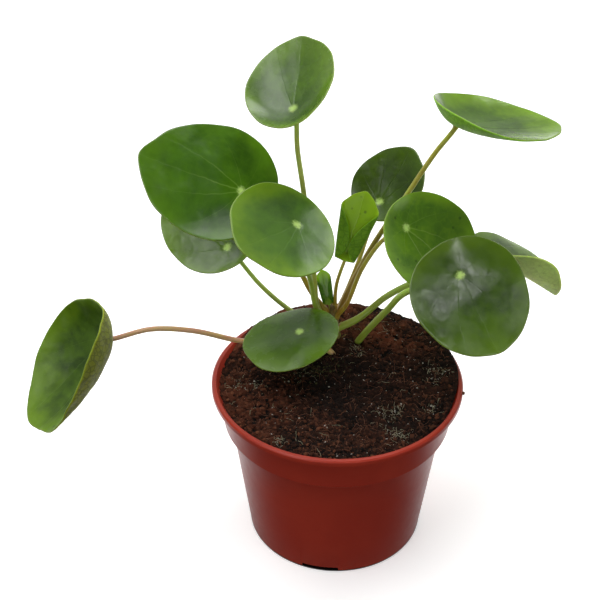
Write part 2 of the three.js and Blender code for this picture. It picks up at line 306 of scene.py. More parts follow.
class Graph:
    """A node tree that is written as short lines: each call adds one node."""

    def __init__(self, tree: bpy.types.NodeTree) -> None:
        """Keeps the tree that nodes are added to."""
        self.tree = tree

    def node(self, kind: str, **settings: object) -> bpy.types.Node:
        """Adds a node.

        Args:
            kind: the node's type.
            settings: its properties by name.

        Returns:
            The node.
        """
        made = self.tree.nodes.new(kind)
        for key, value in settings.items():
            setattr(made, key, value)
        return made

    def feed(self, socket: bpy.types.NodeSocket, value: object) -> None:
        """Links an output to an input, or sets the input's own value.

        Args:
            socket: the input.
            value: a signal to link, or a plain value.
        """
        if isinstance(value, Signal):
            self.tree.links.new(value.socket, socket)
        else:
            socket.default_value = value

    def give(self, node: bpy.types.Node, **values: object) -> None:
        """Feeds a node's inputs by name.

        Args:
            node: the node.
            values: signals or plain values by the inputs' names, underscores for spaces.
        """
        for key, value in values.items():
            self.feed(node.inputs[key.replace("_", " ")], value)

    def outputs(self, node: bpy.types.Node) -> dict[str, Signal]:
        """Gives a node's outputs by name."""
        return {socket.name: Signal(self, socket) for socket in node.outputs}

    def fed(self, kind: str, values: Sequence[object], output: int = 0, **settings: object) -> Signal:
        """Adds a node and feeds its inputs in order.

        Args:
            kind: the node's type.
            values: signals or plain values.
            output: the number of the output that counts.
            settings: the node's properties by name.

        Returns:
            That output.
        """
        node = self.node(kind, **settings)
        for socket, value in zip(node.inputs, values):
            self.feed(socket, value)
        return Signal(self, node.outputs[output])

    def math(self, operation: str, *values: object) -> Signal:
        """Adds a Math node."""
        return self.fed("ShaderNodeMath", values, operation=operation)

    def vector_math(self, operation: str, *values: object) -> Signal:
        """Adds a Vector Math node that gives one number."""
        return self.fed("ShaderNodeVectorMath", values, output=1, operation=operation)

    def mix(self, share: object, first: object, second: object) -> Signal:
        """Mixes two colours.

        Args:
            share: how much of the second shows.
            first: the colour at 0.
            second: the colour at 1.

        Returns:
            The mixed colour.
        """
        made = self.node("ShaderNodeMix", data_type="RGBA")
        for number, value in ((0, share), (6, first), (7, second)):
            self.feed(made.inputs[number], value)
        return Signal(self, made.outputs[2])

    def noise(self, place: Signal, scale: object, detail: float = 4.0, roughness: float = 0.55,
              distortion: float = 0.0) -> Signal:
        """Adds a noise pattern.

        Args:
            place: where it is read.
            scale: its fineness.
            detail: how many finer layers it has.
            roughness: how strong the finer layers are.
            distortion: how far it is twisted.

        Returns:
            The pattern's value.
        """
        made = self.node("ShaderNodeTexNoise")
        self.give(made, Vector=place, Scale=scale, Detail=detail, Roughness=roughness, Distortion=distortion)
        return self.outputs(made)["Fac"]

    def cells(self, place: Signal, scale: object, feature: str = "F1") -> dict[str, Signal]:
        """Adds a cell pattern.

        Args:
            place: where it is read.
            scale: its fineness.
            feature: what its distance is measured to.

        Returns:
            Its outputs by name.
        """
        made = self.node("ShaderNodeTexVoronoi", feature=feature)
        self.give(made, Vector=place, Scale=scale)
        return self.outputs(made)

    def split(self, value: Signal, kind: str = "XYZ") -> list[Signal]:
        """Takes a place, or a Color, apart into its three numbers.

        Args:
            value: the place or colour.
            kind: XYZ or Color.

        Returns:
            The three numbers.
        """
        made = self.node(f"ShaderNodeSeparate{kind}")
        self.feed(made.inputs[0], value)
        return list(self.outputs(made).values())

    def object_place(self) -> Signal:
        """Returns the place on the object, in metres."""
        return self.outputs(self.node("ShaderNodeTexCoord"))["Object"]

    def flat_place(self) -> Signal:
        """Returns the place on the piece's own flat map."""
        return self.outputs(self.node("ShaderNodeUVMap", uv_map="flat"))["UV"]

    def attribute(self, name: str) -> Signal:
        """Returns a number stored on the mesh."""
        return self.outputs(self.node("ShaderNodeAttribute", attribute_name=name))["Fac"]

    def group(self, group: bpy.types.NodeTree, **values: object) -> dict[str, Signal]:
        """Places a shared node group.

        Args:
            group: the group.
            values: what its inputs are given, underscores for spaces.

        Returns:
            Its outputs by name.
        """
        made = self.node("ShaderNodeGroup", node_tree=group)
        self.give(made, **values)
        return self.outputs(made)


class Socket(Enum):
    """The kinds of socket that shared node groups have."""

    NUMBER = "NodeSocketFloat"
    COLOUR = "NodeSocketColor"
    PLACE = "NodeSocketVector"


@dataclass(frozen=True)
class Vein:
    """One main vein: its angle from the midrib, its bend and how strong and long it is."""

    angle: float
    bend: float
    weight: float
    reach: float


VEINS = (
    Vein(0, 0.0, 1.0, 1.35),
    Vein(34, -0.007, 0.85, 1.1), Vein(-34, 0.007, 0.85, 1.1),
    Vein(72, -0.010, 0.5, 0.8), Vein(-72, 0.010, 0.5, 0.8),
    Vein(118, -0.016, 0.35, 0.6), Vein(-118, 0.016, 0.35, 0.6),
    Vein(160, 0.0, 0.3, 0.35), Vein(-160, 0.0, 0.3, 0.35),
)


class Effects:
    """The shared node groups, each built once when it is first asked for."""

    @staticmethod
    def start(name: str, inputs: dict[str, Socket], outputs: dict[str, Socket]
              ) -> tuple[Graph, dict[str, Signal], bpy.types.Node]:
        """Starts a shared node group.

        Args:
            name: the group's name.
            inputs: the kind of each input by name.
            outputs: the kind of each output by name.

        Returns:
            Its graph, what it is given by name, and its output node.
        """
        tree = bpy.data.node_groups.new(name, "ShaderNodeTree")
        for way, sockets in (("INPUT", inputs), ("OUTPUT", outputs)):
            for label, kind in sockets.items():
                tree.interface.new_socket(name=label, in_out=way, socket_type=kind.value)
        graph = Graph(tree)
        return graph, graph.outputs(graph.node("NodeGroupInput")), graph.node("NodeGroupOutput")

    @staticmethod
    @cache
    def mottle() -> bpy.types.NodeTree:
        """Uneven colour: a first colour with patches of a second and flecks of a third.

        Returns:
            The group.
        """
        graph, given, result = Effects.start(
            "mottle",
            {"Vector": Socket.PLACE, "Scale": Socket.NUMBER, "Base": Socket.COLOUR, "Patch": Socket.COLOUR,
             "Fleck": Socket.COLOUR, "Patches": Socket.NUMBER, "Flecks": Socket.NUMBER},
            {"Color": Socket.COLOUR, "Value": Socket.NUMBER})
        place, scale = given["Vector"], given["Scale"]
        broad = graph.noise(place, scale, detail=5.0, roughness=0.62, distortion=0.4)
        fine = graph.noise(place, scale * 9.0, detail=3.0, roughness=0.5)
        patch = broad.ramp(0.36, 0.66)
        share = (patch * given["Patches"]).clamped()
        colour = graph.mix(share, given["Base"], given["Patch"])
        fleck = (fine.ramp(0.55, 0.72) * given["Flecks"]).clamped()
        graph.give(result, Color=graph.mix(fleck, colour, given["Fleck"]), Value=patch)
        return graph.tree

    @staticmethod
    @cache
    def vein_line() -> bpy.types.NodeTree:
        """One vein that leaves the hub at an angle and bends towards the point.

        Returns:
            The group.
        """
        names = ("Along", "Across", "Angle", "Bend", "Width", "Reach")
        graph, given, result = Effects.start(
            "vein_line", {name: Socket.NUMBER for name in names}, {"Mask": Socket.NUMBER})
        along, across, turn, bend, wide, reach = (given[name] for name in names)
        cosine, sine = graph.math("COSINE", turn), graph.math("SINE", turn)
        ahead = along * cosine + across * sine
        beside = across * cosine - along * sine
        away = graph.math("ABSOLUTE", beside - bend * (ahead * ahead))
        run = ahead / reach
        width = wide * run.ramp(0.0, 1.1, 1.0, 0.25)
        line = (1.0 - away / width).clamped()
        shown = ahead.ramp(-0.6, 0.4) * run.ramp(0.7, 1.05, 1.0, 0.0)
        graph.give(result, Mask=line * shown)
        return graph.tree

    @staticmethod
    @cache
    def leaf_veins() -> bpy.types.NodeTree:
        """The veins and the hub of a shield-stalked blade, on its own flat map.

        Returns:
            The group.
        """
        graph, given, result = Effects.start(
            "leaf_veins",
            {"Vector": Socket.PLACE, "Width": Socket.NUMBER, "Reach": Socket.NUMBER,
             "Hub Radius": Socket.NUMBER},
            {"Veins": Socket.NUMBER, "Hub": Socket.NUMBER, "Radius": Socket.NUMBER})
        place = given["Vector"]
        flat_x, flat_y, _ = graph.split(place)
        wander = (graph.noise(place, 14.0, detail=2.0) - 0.5) * 2.4
        along = (flat_x - 0.5) * FLAT_MAP_MM
        across = (flat_y - 0.5) * FLAT_MAP_MM + wander
        radius = graph.math("SQRT", along * along + across * across)
        total: object = 0.0
        for vein in VEINS:
            line = graph.group(Effects.vein_line(), Along=along, Across=across,
                               Angle=math.radians(vein.angle), Bend=vein.bend,
                               Width=given["Width"] * vein.weight, Reach=given["Reach"] * vein.reach)
            total = graph.math("MAXIMUM", total, line["Mask"] * vein.weight)
        ragged = (graph.noise(place, 90.0, detail=2.0) - 0.5) * 2.4
        hub = ((radius + ragged) / given["Hub Radius"]).ramp(0.25, 1.25, 1.0, 0.0)
        graph.give(result, Veins=total, Hub=hub, Radius=radius)
        return graph.tree

    @staticmethod
    @cache
    def speckle() -> bpy.types.NodeTree:
        """Sparse round dots.

        Returns:
            The group.
        """
        graph, given, result = Effects.start(
            "speckle",
            {"Vector": Socket.PLACE, "Scale": Socket.NUMBER, "Size": Socket.NUMBER, "Share": Socket.NUMBER},
            {"Mask": Socket.NUMBER})
        dots = graph.cells(given["Vector"], given["Scale"])
        near = graph.math("LESS_THAN", dots["Distance"], given["Size"])
        soft = ((1.0 - dots["Distance"] / given["Size"]) * 2.0).clamped()
        chosen = graph.math("LESS_THAN", graph.split(dots["Color"], "Color")[0], given["Share"])
        graph.give(result, Mask=near * soft * chosen)
        return graph.tree


def new_material(name: str) -> tuple[bpy.types.Material, Graph, bpy.types.Node]:
    """Starts a material.

    Args:
        name: the material's name.

    Returns:
        The material, its graph and its surface shader.
    """
    material = bpy.data.materials.new(name)
    material.use_nodes = True
    graph = Graph(material.node_tree)
    shader = next(node for node in material.node_tree.nodes if node.type == "BSDF_PRINCIPLED")
    return material, graph, shader


def bump(graph: Graph, shader: bpy.types.Node, height: Signal, distance: float) -> None:
    """Raises the surface by a height, in the shader's normal.

    Args:
        graph: the material's graph.
        shader: the surface shader.
        height: the height.
        distance: how far a height of one raises the surface, in metres.
    """
    made = graph.node("ShaderNodeBump")
    graph.give(made, Strength=1.0, Distance=distance, Height=height)
    graph.give(shader, Normal=graph.outputs(made)["Normal"])


def soften(graph: Graph, shader: bpy.types.Node, weight: float, depth: float) -> None:
    """Lets light through fresh green tissue.

    Args:
        graph: the material's graph.
        shader: the surface shader.
        weight: the share of the light that goes in.
        depth: how far it goes, in metres.
    """
    graph.give(shader, Subsurface_Weight=weight, Subsurface_Radius=(0.8, 1.0, 0.25), Subsurface_Scale=depth)


# ------------------------------------------------------------------ finishes


@dataclass(frozen=True)
class LeafTone:
    """The colours of one blade, from deep to light, and how they are spread."""

    deep: Rgb = (46, 72, 11)
    light: Rgb = (80, 113, 17)
    glow: Rgb = (112, 148, 22)
    under: Rgb = (138, 162, 66)
    hub: Rgb = (176, 208, 108)
    vein: Rgb = (150, 184, 84)
    dot: Rgb = (160, 190, 110)
    spot: Rgb = (44, 64, 14)
    rim: Rgb = (138, 156, 70)
    patches: float = 0.8
    patch_scale: float = 34.0
    rim_light: float = 0.7
    # shade scales a blade's colours to how bright that leaf looks: partly its own tone, partly painted light
    # and shade for the light that reaches it
    shade: float = 1.0
    gloss: float = 0.17
    sheen: float = 0.42
    net: float = 0.4
    groove: float = 1.0
    vein_light: float = 0.06
    speckles: float = 0.04
    spots: float = 0.0

    def tint(self, colour: Rgb) -> ShaderColour:
        """Gives a screen colour as a shader colour, lighter or darker by this tone's shade, which is partly
        painted light and shade.
        """
        red, green, blue, alpha = srgb(*colour)
        return (red * self.shade, green * self.shade, blue * self.shade, alpha)


@dataclass(frozen=True)
class BladeSkin:
    """The glossy upper skin of a blade."""

    name: str
    tone: LeafTone
    reach: float
    vein_width: float = 0.55
    hub_radius: float = 2.2
    net_scale: float = 17.0
    net_share: float = 0.1
    dot_scale: float = 1100.0
    spot_scale: float = 26.0
    relief: float = 0.07 * MM

    def make(self) -> bpy.types.Material:
        """Builds the material on the blade's flat map and Object coordinates.

        Returns:
            The material.
        """
        material, graph, shader = new_material(f"{self.name}_upper_skin")
        tone = self.tone
        deep, light = tone.tint(tone.deep), tone.tint(tone.light)
        flat, place, margin = graph.flat_place(), graph.object_place(), graph.attribute("margin")
        mottle = graph.group(Effects.mottle(), Vector=place, Scale=tone.patch_scale, Base=deep,
                             Patch=light, Fleck=light, Patches=tone.patches, Flecks=0.2)
        veins = graph.group(Effects.leaf_veins(), Vector=flat, Width=self.vein_width, Reach=self.reach,
                            Hub_Radius=self.hub_radius)
        blotch = graph.noise(place, 55.0, detail=3.0)
        outer = (margin + (blotch - 0.5) * 0.9).ramp(0.55, 1.1)
        colour = graph.mix(outer * tone.rim_light, mottle["Color"], tone.tint(tone.glow))
        net = graph.cells(flat, self.net_scale, feature="DISTANCE_TO_EDGE")["Distance"]
        colour = graph.mix(net.ramp(0.0, 0.09, 1.0, 0.0) * self.net_share, colour, light)
        near = veins["Radius"].ramp(3.0, self.reach * 0.8, 1.0, 0.3)
        colour = graph.mix((veins["Veins"] * tone.vein_light * near).clamped(), colour, srgb(*tone.vein))
        dots = graph.group(Effects.speckle(), Vector=place, Scale=self.dot_scale, Size=0.2, Share=0.25)
        colour = graph.mix(dots["Mask"] * tone.speckles, colour, srgb(*tone.dot))
        if tone.spots > 0:
            marks = graph.group(Effects.speckle(), Vector=flat, Scale=self.spot_scale, Size=0.24,
                                Share=tone.spots)
            colour = graph.mix(marks["Mask"] * 0.55, colour, srgb(*tone.spot))
        colour = graph.mix(veins["Hub"], colour, srgb(*tone.hub))
        colour = graph.mix(margin.ramp(0.985, 0.997) * 0.45, colour, srgb(*tone.rim))
        cloud = graph.noise(place, 200.0, detail=3.0)
        rough = cloud.ramp(0.3, 0.7, tone.gloss - 0.03, tone.gloss + 0.08) + veins["Hub"] * 0.15
        graph.give(shader, Base_Color=colour, Roughness=rough, Specular_IOR_Level=tone.sheen)
        soften(graph, shader, 0.2, 0.5 * MM)
        grain = graph.noise(place, 1600.0, detail=2.0)
        height = veins["Veins"] * -1.1 + net.ramp(0.0, 0.3) * 0.5 + cloud * 0.9 + grain * 0.12
        bump(graph, shader, height, self.relief * tone.groove)
        return material


@dataclass(frozen=True)
class BladeUnderside:
    """The paler, duller underside of a blade, with a fine net of veins."""

    name: str
    tone: LeafTone
    reach: float
    vein_width: float = 0.8
    hub_radius: float = 2.6
    net_scale: float = 40.0
    relief: float = 0.14 * MM

    def make(self) -> bpy.types.Material:
        """Builds the material on the blade's flat map.

        Returns:
            The material.
        """
        material, graph, shader = new_material(f"{self.name}_under_skin")
        flat = graph.flat_place()
        base = srgb(*self.tone.under)
        light = srgb(*(min(255, round(part * 1.15 + 6)) for part in self.tone.under))
        dark = srgb(*(round(part * 0.66) for part in self.tone.under))
        mottle = graph.group(Effects.mottle(), Vector=flat, Scale=5.0, Base=base, Patch=light, Fleck=dark,
                             Patches=0.6, Flecks=0.35)
        veins = graph.group(Effects.leaf_veins(), Vector=flat, Width=self.vein_width, Reach=self.reach,
                            Hub_Radius=self.hub_radius)
        net = graph.cells(flat, self.net_scale, feature="DISTANCE_TO_EDGE")["Distance"]
        lines = net.ramp(0.0, 0.13, 1.0, 0.0)
        edge = graph.attribute("margin").ramp(0.975, 0.992) * 0.6
        colour = graph.mix(lines * self.tone.net, mottle["Color"], dark)
        for share in ((veins["Veins"] * 0.3).clamped(), veins["Hub"], edge):
            colour = graph.mix(share, colour, light)
        cloud = graph.noise(flat, 30.0, detail=3.0)
        graph.give(shader, Base_Color=colour, Roughness=cloud.ramp(0.3, 0.7, 0.5, 0.66),
                   Specular_IOR_Level=self.tone.sheen * 0.35)
        soften(graph, shader, 0.6, 1.6 * MM)
        bump(graph, shader, veins["Veins"] * 1.2 + lines * 0.3 + cloud * 0.5, self.relief)
        return material


@dataclass(frozen=True)
class StalkSkin:
    """The skin of a stalk, which changes from its foot to its blade."""

    name: str
    foot: Rgb = (170, 176, 92)
    top: Rgb = (172, 196, 96)
    blush: Rgb = (170, 136, 82)
    blush_share: float = 0.3
    dot: Rgb = (196, 200, 150)
    dot_scale: float = 1100.0
    relief: float = 0.1 * MM

    def make(self) -> bpy.types.Material:
        """Builds the material on the stalk's own length and Object coordinates.

        Returns:
            The material.
        """
        material, graph, shader = new_material(f"{self.name}_stalk_skin")
        place = graph.object_place()
        foot = srgb(*self.foot)
        colour = graph.mix(graph.attribute("along").ramp(0.05, 0.7), foot, srgb(*self.top))
        cloud = graph.noise(place, 90.0)
        upper = graph.attribute("upper").ramp(0.1, 0.9)
        share = (cloud.ramp(0.3, 0.65) * self.blush_share * (upper * 0.8 + 0.4)).clamped()
        colour = graph.mix(share, colour, srgb(*self.blush))
        dots = graph.group(Effects.speckle(), Vector=place, Scale=self.dot_scale, Size=0.24, Share=0.5)
        colour = graph.mix(dots["Mask"] * 0.35, colour, srgb(*self.dot))
        streak = graph.noise(graph.flat_place(), 14.0, detail=3.0)
        colour = graph.mix(streak.ramp(0.45, 0.7) * 0.25, colour, foot)
        graph.give(shader, Base_Color=colour, Roughness=cloud.ramp(0.3, 0.7, 0.36, 0.52),
                   Specular_IOR_Level=0.45)
        soften(graph, shader, 0.7, 1.5 * MM)
        bump(graph, shader, streak + cloud * 0.6, self.relief)
        return material


@dataclass(frozen=True)
class StemSkin:
    """The green-brown, scarred skin of the short stem."""

    green: Rgb = (124, 116, 54)
    brown: Rgb = (104, 76, 40)
    pale: Rgb = (160, 150, 100)
    relief: float = 0.4 * MM

    def make(self) -> bpy.types.Material:
        """Builds the material on Object coordinates.

        Returns:
            The material.
        """
        material, graph, shader = new_material("stem_skin")
        place = graph.object_place()
        mottle = graph.group(Effects.mottle(), Vector=place, Scale=160.0, Base=srgb(*self.green),
                             Patch=srgb(*self.brown), Fleck=srgb(*self.pale), Patches=0.85, Flecks=0.3)
        rough = graph.noise(place, 400.0)
        graph.give(shader, Base_Color=mottle["Color"], Roughness=rough.ramp(0.3, 0.7, 0.5, 0.75))
        bump(graph, shader, rough + mottle["Value"], self.relief)
        return material


@dataclass(frozen=True)
class PotPlastic:
    """Terracotta-coloured moulded plastic: satin, faintly uneven, scuffed on its edges."""

    colour: Rgb = (170, 54, 36)
    pale: Rgb = (190, 74, 56)
    dark: Rgb = (150, 40, 27)
    dust: Rgb = (150, 96, 80)
    dust_height: float = 12 * MM
    relief: float = 0.03 * MM

    def make(self) -> bpy.types.Material:
        """Builds the material on Object coordinates.

        Returns:
            The material.
        """
        material, graph, shader = new_material("pot_plastic")
        place = graph.object_place()
        pale = srgb(*self.pale)
        mottle = graph.group(Effects.mottle(), Vector=place, Scale=24.0, Base=srgb(*self.colour),
                             Patch=srgb(*self.dark), Fleck=pale, Patches=0.4, Flecks=0.0)
        height = graph.split(place)[2]
        bands = graph.node("ShaderNodeCombineXYZ")
        graph.feed(bands.inputs[2], height)
        line = graph.noise(Signal(graph, bands.outputs[0]), 900.0, detail=3.0)
        colour = graph.mix(line.ramp(0.5, 0.75) * 0.05, mottle["Color"], pale)
        scuff = graph.noise(place, 260.0, detail=6.0, roughness=0.7, distortion=1.5)
        low = height.ramp(0.0, self.dust_height, 1.0, 0.0)
        dust = scuff.ramp(0.5, 0.72) * (low * 0.35 + 0.03)
        fine = graph.noise(place, 300.0, detail=1.0)
        graph.give(shader, Base_Color=graph.mix(dust, colour, srgb(*self.dust)),
                   Roughness=fine.ramp(0.2, 0.8, 0.28, 0.34) + dust * 0.3, Specular_IOR_Level=0.4)
        bump(graph, shader, fine * 0.5 + line * 0.2, self.relief)
        return material


class SoilKind(Enum):
    """What a bit of the potting mix is made of."""

    PEAT = "peat"
    COIR = "coir"
    FIBRE = "fibre"
    PERLITE = "perlite"
    MOSS = "moss"
    ROOT = "root_hair"


@dataclass(frozen=True)
class SoilFinish:
    """One sort of potting mix, with its dark, middle and light colour."""

    kind: SoilKind
    dark: Rgb
    middle: Rgb
    light: Rgb
    # a lighter colour for the relief's crests, a painted highlight, that also tints crumbs at random
    crest_highlight_and_lump: Rgb = (118, 72, 50)
    # near black painted into the relief's hollows as shade, also the colour of the darkest crumbs
    hollow_shade_and_dark_crumbs: Rgb = (6, 4, 3)
    # the dark colour of the painted shade where the leaves shade the soil
    painted_shade_colour: Rgb = (18, 12, 9)
    grain: float = 900.0
    roughness: float = 0.95
    relief: float = 0.6 * MM

    def lit_and_warm_parts(self, graph: Graph, place: Signal) -> Signal:
        """Says where the mix is lighter and warmer, in broad patches: at the back, partly its own redder
        colour and partly painted light on soil that the leaves shade; on the left, its own drier, warmer
        colour.

        Args:
            graph: the material's graph.
            place: the place on the soil.

        Returns:
            How much lighter and warmer it is, 0 to 1.
        """
        broad = graph.noise(place, 34.0, detail=3.0)
        across, back, _ = graph.split(place)
        lit_and_warm = back.ramp(0.008, 0.035) + across.ramp(0.0, -0.05) * 0.35
        return (broad.ramp(0.35, 0.6) * (lit_and_warm + 0.2)).clamped()

    def make(self) -> bpy.types.Material:
        """Builds the material on Object coordinates.

        Returns:
            The material.
        """
        material, graph, shader = new_material(f"soil_{self.kind.value}")
        place = graph.object_place()
        dark, light, crest_highlight_and_lump = srgb(*self.dark), srgb(*self.light), srgb(*self.crest_highlight_and_lump)
        mottle = graph.group(Effects.mottle(), Vector=place, Scale=self.grain / 6, Base=dark,
                             Patch=srgb(*self.middle), Fleck=light, Patches=0.9, Flecks=0.5)
        fine = graph.noise(place, self.grain, detail=6.0, roughness=0.7)
        colour = graph.mix(fine.ramp(0.56, 0.72) * 0.55, mottle["Color"], light)
        colour = graph.mix(fine.ramp(0.5, 0.34) * 0.7, colour, dark)
        if self.kind is SoilKind.PEAT:
            hollow_shade_and_dark_crumbs = graph.attribute("hollow_shade_and_dark_crumbs")
            # partly painted light: lighter soil at the back, where the leaves shade it
            colour = graph.mix(self.lit_and_warm_parts(graph, place) * 0.8, colour, light)
            # painted highlight on the relief's crests and painted shade in its hollows; on crumbs the same
            # attribute lightens or darkens some at random
            colour = graph.mix(hollow_shade_and_dark_crumbs.ramp(0.28, 0.0) * 0.4, colour, crest_highlight_and_lump)
            colour = graph.mix(hollow_shade_and_dark_crumbs.ramp(0.38, 0.75), colour, srgb(*self.hollow_shade_and_dark_crumbs))
        colour = graph.mix(graph.attribute("tint") * 0.4, colour, crest_highlight_and_lump)
        if self.kind in (SoilKind.PEAT, SoilKind.COIR):
            # painted shade: dark patches where the leaves shade the soil
            colour = graph.mix(graph.attribute("painted_shade") * 0.8, colour, srgb(*self.painted_shade_colour))
        graph.give(shader, Base_Color=colour, Roughness=self.roughness, Specular_IOR_Level=0.2)
        bump(graph, shader, fine, self.relief)
        return material


@dataclass(frozen=True)
class FloorFinish:
    """The plain pale floor: white to look at, dim in front for what it throws back, and clear from below;
    under the pot it is a painted shadow, dark and unlit.
    """

    colour: Rgb = (250, 250, 250)
    cloud: Rgb = (238, 238, 238)
    # the painted shadow's colour, under the pot
    shaded: Rgb = (30, 26, 24)
    lift: float = 0.42
    bounce_front: float = 0.05
    bounce_back: float = 1.8
    gloss_front: float = 0.04
    gloss_back: float = 1.5
    pot_radius: float = 43.4 * MM

    def thrown(self, graph: Graph, place: Signal, rays: dict[str, Signal]) -> Signal:
        """Says how much light the floor throws back, more at the back than in front.

        Args:
            graph: the material's graph.
            place: the place on the floor.
            rays: what kind of ray looks at the floor.

        Returns:
            The strength of the light.
        """
        back = graph.split(place)[1]
        glossy = rays["Is Glossy Ray"]
        soft = back.ramp(-0.10, 0.30, self.bounce_front, self.bounce_back) * (1.0 - glossy)
        sharp = back.ramp(-0.05, 0.07, self.gloss_front, self.gloss_back) * glossy
        return soft + sharp

    def make(self) -> bpy.types.Material:
        """Builds the material on Object coordinates.

        Returns:
            The material.
        """
        material, graph, shader = new_material("floor_paper")
        place = graph.object_place()
        rays = graph.outputs(graph.node("ShaderNodeLightPath"))
        paper = graph.mix(graph.noise(place, 3.0, detail=2.0) * 0.02, srgb(*self.colour), srgb(*self.cloud))
        # painted shadow: within the pot's foot the floor is dark and gives no light, so the notches look
        # black
        clear = graph.vector_math("LENGTH", place).ramp(self.pot_radius - 1 * MM, self.pot_radius)
        graph.give(shader, Base_Color=graph.mix(clear, srgb(*self.shaded), paper), Roughness=0.9,
                   Specular_IOR_Level=0.1, Emission_Color=(1, 1, 1, 1), Emission_Strength=clear * self.lift)
        glow = graph.node("ShaderNodeEmission")
        graph.give(glow, Strength=self.thrown(graph, place, rays) * clear)
        seen = graph.fed("ShaderNodeMixShader", (rays["Is Camera Ray"], Signal(graph, glow.outputs[0]),
                                                  Signal(graph, shader.outputs[0])))
        behind = graph.outputs(graph.node("ShaderNodeNewGeometry"))["Backfacing"]
        nothing = Signal(graph, graph.node("ShaderNodeBsdfTransparent").outputs[0])
        end = next(node for node in material.node_tree.nodes if node.type == "OUTPUT_MATERIAL")
        graph.give(end, Surface=graph.fed("ShaderNodeMixShader", (behind, seen, nothing)))
        return material


# ------------------------------------------------------------------ nursery pot


@dataclass
class NurseryPot:
    """The moulded pot: a lip, a collar, a ledge, a tapered body and notches at its foot."""

    height: float = 86 * MM
    rim_radius: float = 60 * MM
    lip_width: float = 2.2 * MM
    lip_height: float = 2.8 * MM
    flare_height: float = 6.5 * MM
    collar_height: float = 20.5 * MM
    collar_top_radius: float = 55.2 * MM
    collar_foot_radius: float = 54.8 * MM
    body_top_radius: float = 51.3 * MM
    base_radius: float = 43 * MM
    wall: float = 1.4 * MM
    floor: float = 1.8 * MM
    edge_round: float = 0.7 * MM
    sides: int = 144
    notch_count: int = 4
    notch_angle: float = 259.0
    notch_width: float = 18 * MM
    notch_height: float = 2.6 * MM
    notch_reach: float = 3.5 * MM
    notch_round: float = 0.8 * MM
    corner_round: float = 0.35 * MM
    corner_angle: float = 24.0
    finish: PotPlastic = field(default_factory=PotPlastic)

    def outer_radius(self, height: float) -> float:
        """Gives the tapered body's radius at a height."""
        ledge = self.height - self.collar_height
        return self.base_radius + (self.body_top_radius - self.base_radius) * height / ledge

    def corners(self) -> list[tuple[float, float]]:
        """Lists the wall's corners, up the outside and down the inside.

        Returns:
            A radius and a height for each.
        """
        ledge = self.height - self.collar_height
        lip_foot = self.height - self.lip_height
        mouth = self.rim_radius - self.lip_width
        soft = self.edge_round
        outside = [
            (self.base_radius, soft),
            (self.outer_radius(ledge / 3), ledge / 3),
            (self.outer_radius(ledge * 2 / 3), ledge * 2 / 3),
            (self.body_top_radius, ledge - soft),
            (self.collar_foot_radius - soft, ledge),
            (self.collar_foot_radius, ledge + soft),
            (self.collar_top_radius, self.height - self.flare_height),
            (mouth, lip_foot - self.wall),
            (self.rim_radius, lip_foot),
            (self.rim_radius, self.height - soft),
            (self.rim_radius - soft, self.height),
        ]
        inside = [
            (mouth, self.height),
            (mouth - self.wall, lip_foot),
            (self.collar_top_radius - self.wall, self.height - self.flare_height + self.wall),
            (self.collar_foot_radius - self.wall, ledge + self.wall),
            (self.outer_radius(ledge - self.wall) - self.wall, ledge - self.wall),
            (self.outer_radius(self.floor) - self.wall, self.floor),
        ]
        return outside + inside

    def shell(self) -> bpy.types.Object:
        """Raises the wall from a disc, one extrusion for each corner.

        Returns:
            The closed shell.
        """
        radius = self.base_radius - self.edge_round
        bpy.ops.mesh.primitive_circle_add(vertices=self.sides, radius=radius, fill_type="NGON")
        piece = take("nursery_pot")
        bpy.ops.object.mode_set(mode="EDIT")
        bpy.ops.mesh.select_mode(type="FACE")
        bpy.ops.mesh.select_all(action="SELECT")
        height = 0.0
        for next_radius, next_height in self.corners():
            bpy.ops.mesh.extrude_region_move(TRANSFORM_OT_translate={"value": (0, 0, next_height - height)})
            grow = next_radius / radius
            bpy.ops.transform.resize(value=(grow, grow, 1), center_override=(0, 0, next_height))
            radius, height = next_radius, next_height
        bpy.ops.mesh.select_all(action="SELECT")
        bpy.ops.mesh.normals_make_consistent(inside=False)
        bpy.ops.object.mode_set(mode="OBJECT")
        return piece

    def cut_notches(self, piece: bpy.types.Object) -> None:
        """Cuts the drainage notches through the foot of the wall.

        Args:
            piece: the shell.
        """
        for number in range(self.notch_count):
            angle = math.radians(self.notch_angle + 360 / self.notch_count * number)
            deselect_all()
            bpy.ops.mesh.primitive_cube_add(
                size=1, location=(self.base_radius * math.cos(angle), self.base_radius * math.sin(angle), 0),
                rotation=(0, 0, angle),
                scale=(self.notch_reach * 2, self.notch_width, self.notch_height * 2))
            cutter = take(f"notch_cutter_{number}")
            apply_modifier(cutter, "BEVEL", width=self.notch_round, segments=3, limit_method="ANGLE")
            apply_modifier(piece, "BOOLEAN", operation="DIFFERENCE", object=cutter, solver="EXACT")
            bpy.data.objects.remove(cutter, do_unlink=True)

    def build(self) -> None:
        """Builds the pot and seats it on the frame."""
        deselect_all()
        piece = self.shell()
        self.cut_notches(piece)
        apply_modifier(piece, "BEVEL", width=self.corner_round, segments=3, limit_method="ANGLE",
                       angle_limit=math.radians(self.corner_angle), use_clamp_overlap=True)
        settle(piece)
        shade_smooth(piece, 30)
        piece.data.materials.append(self.finish.make())
        hand_over(piece, "pot_plastic", "pot")


# ------------------------------------------------------------------ potting mix


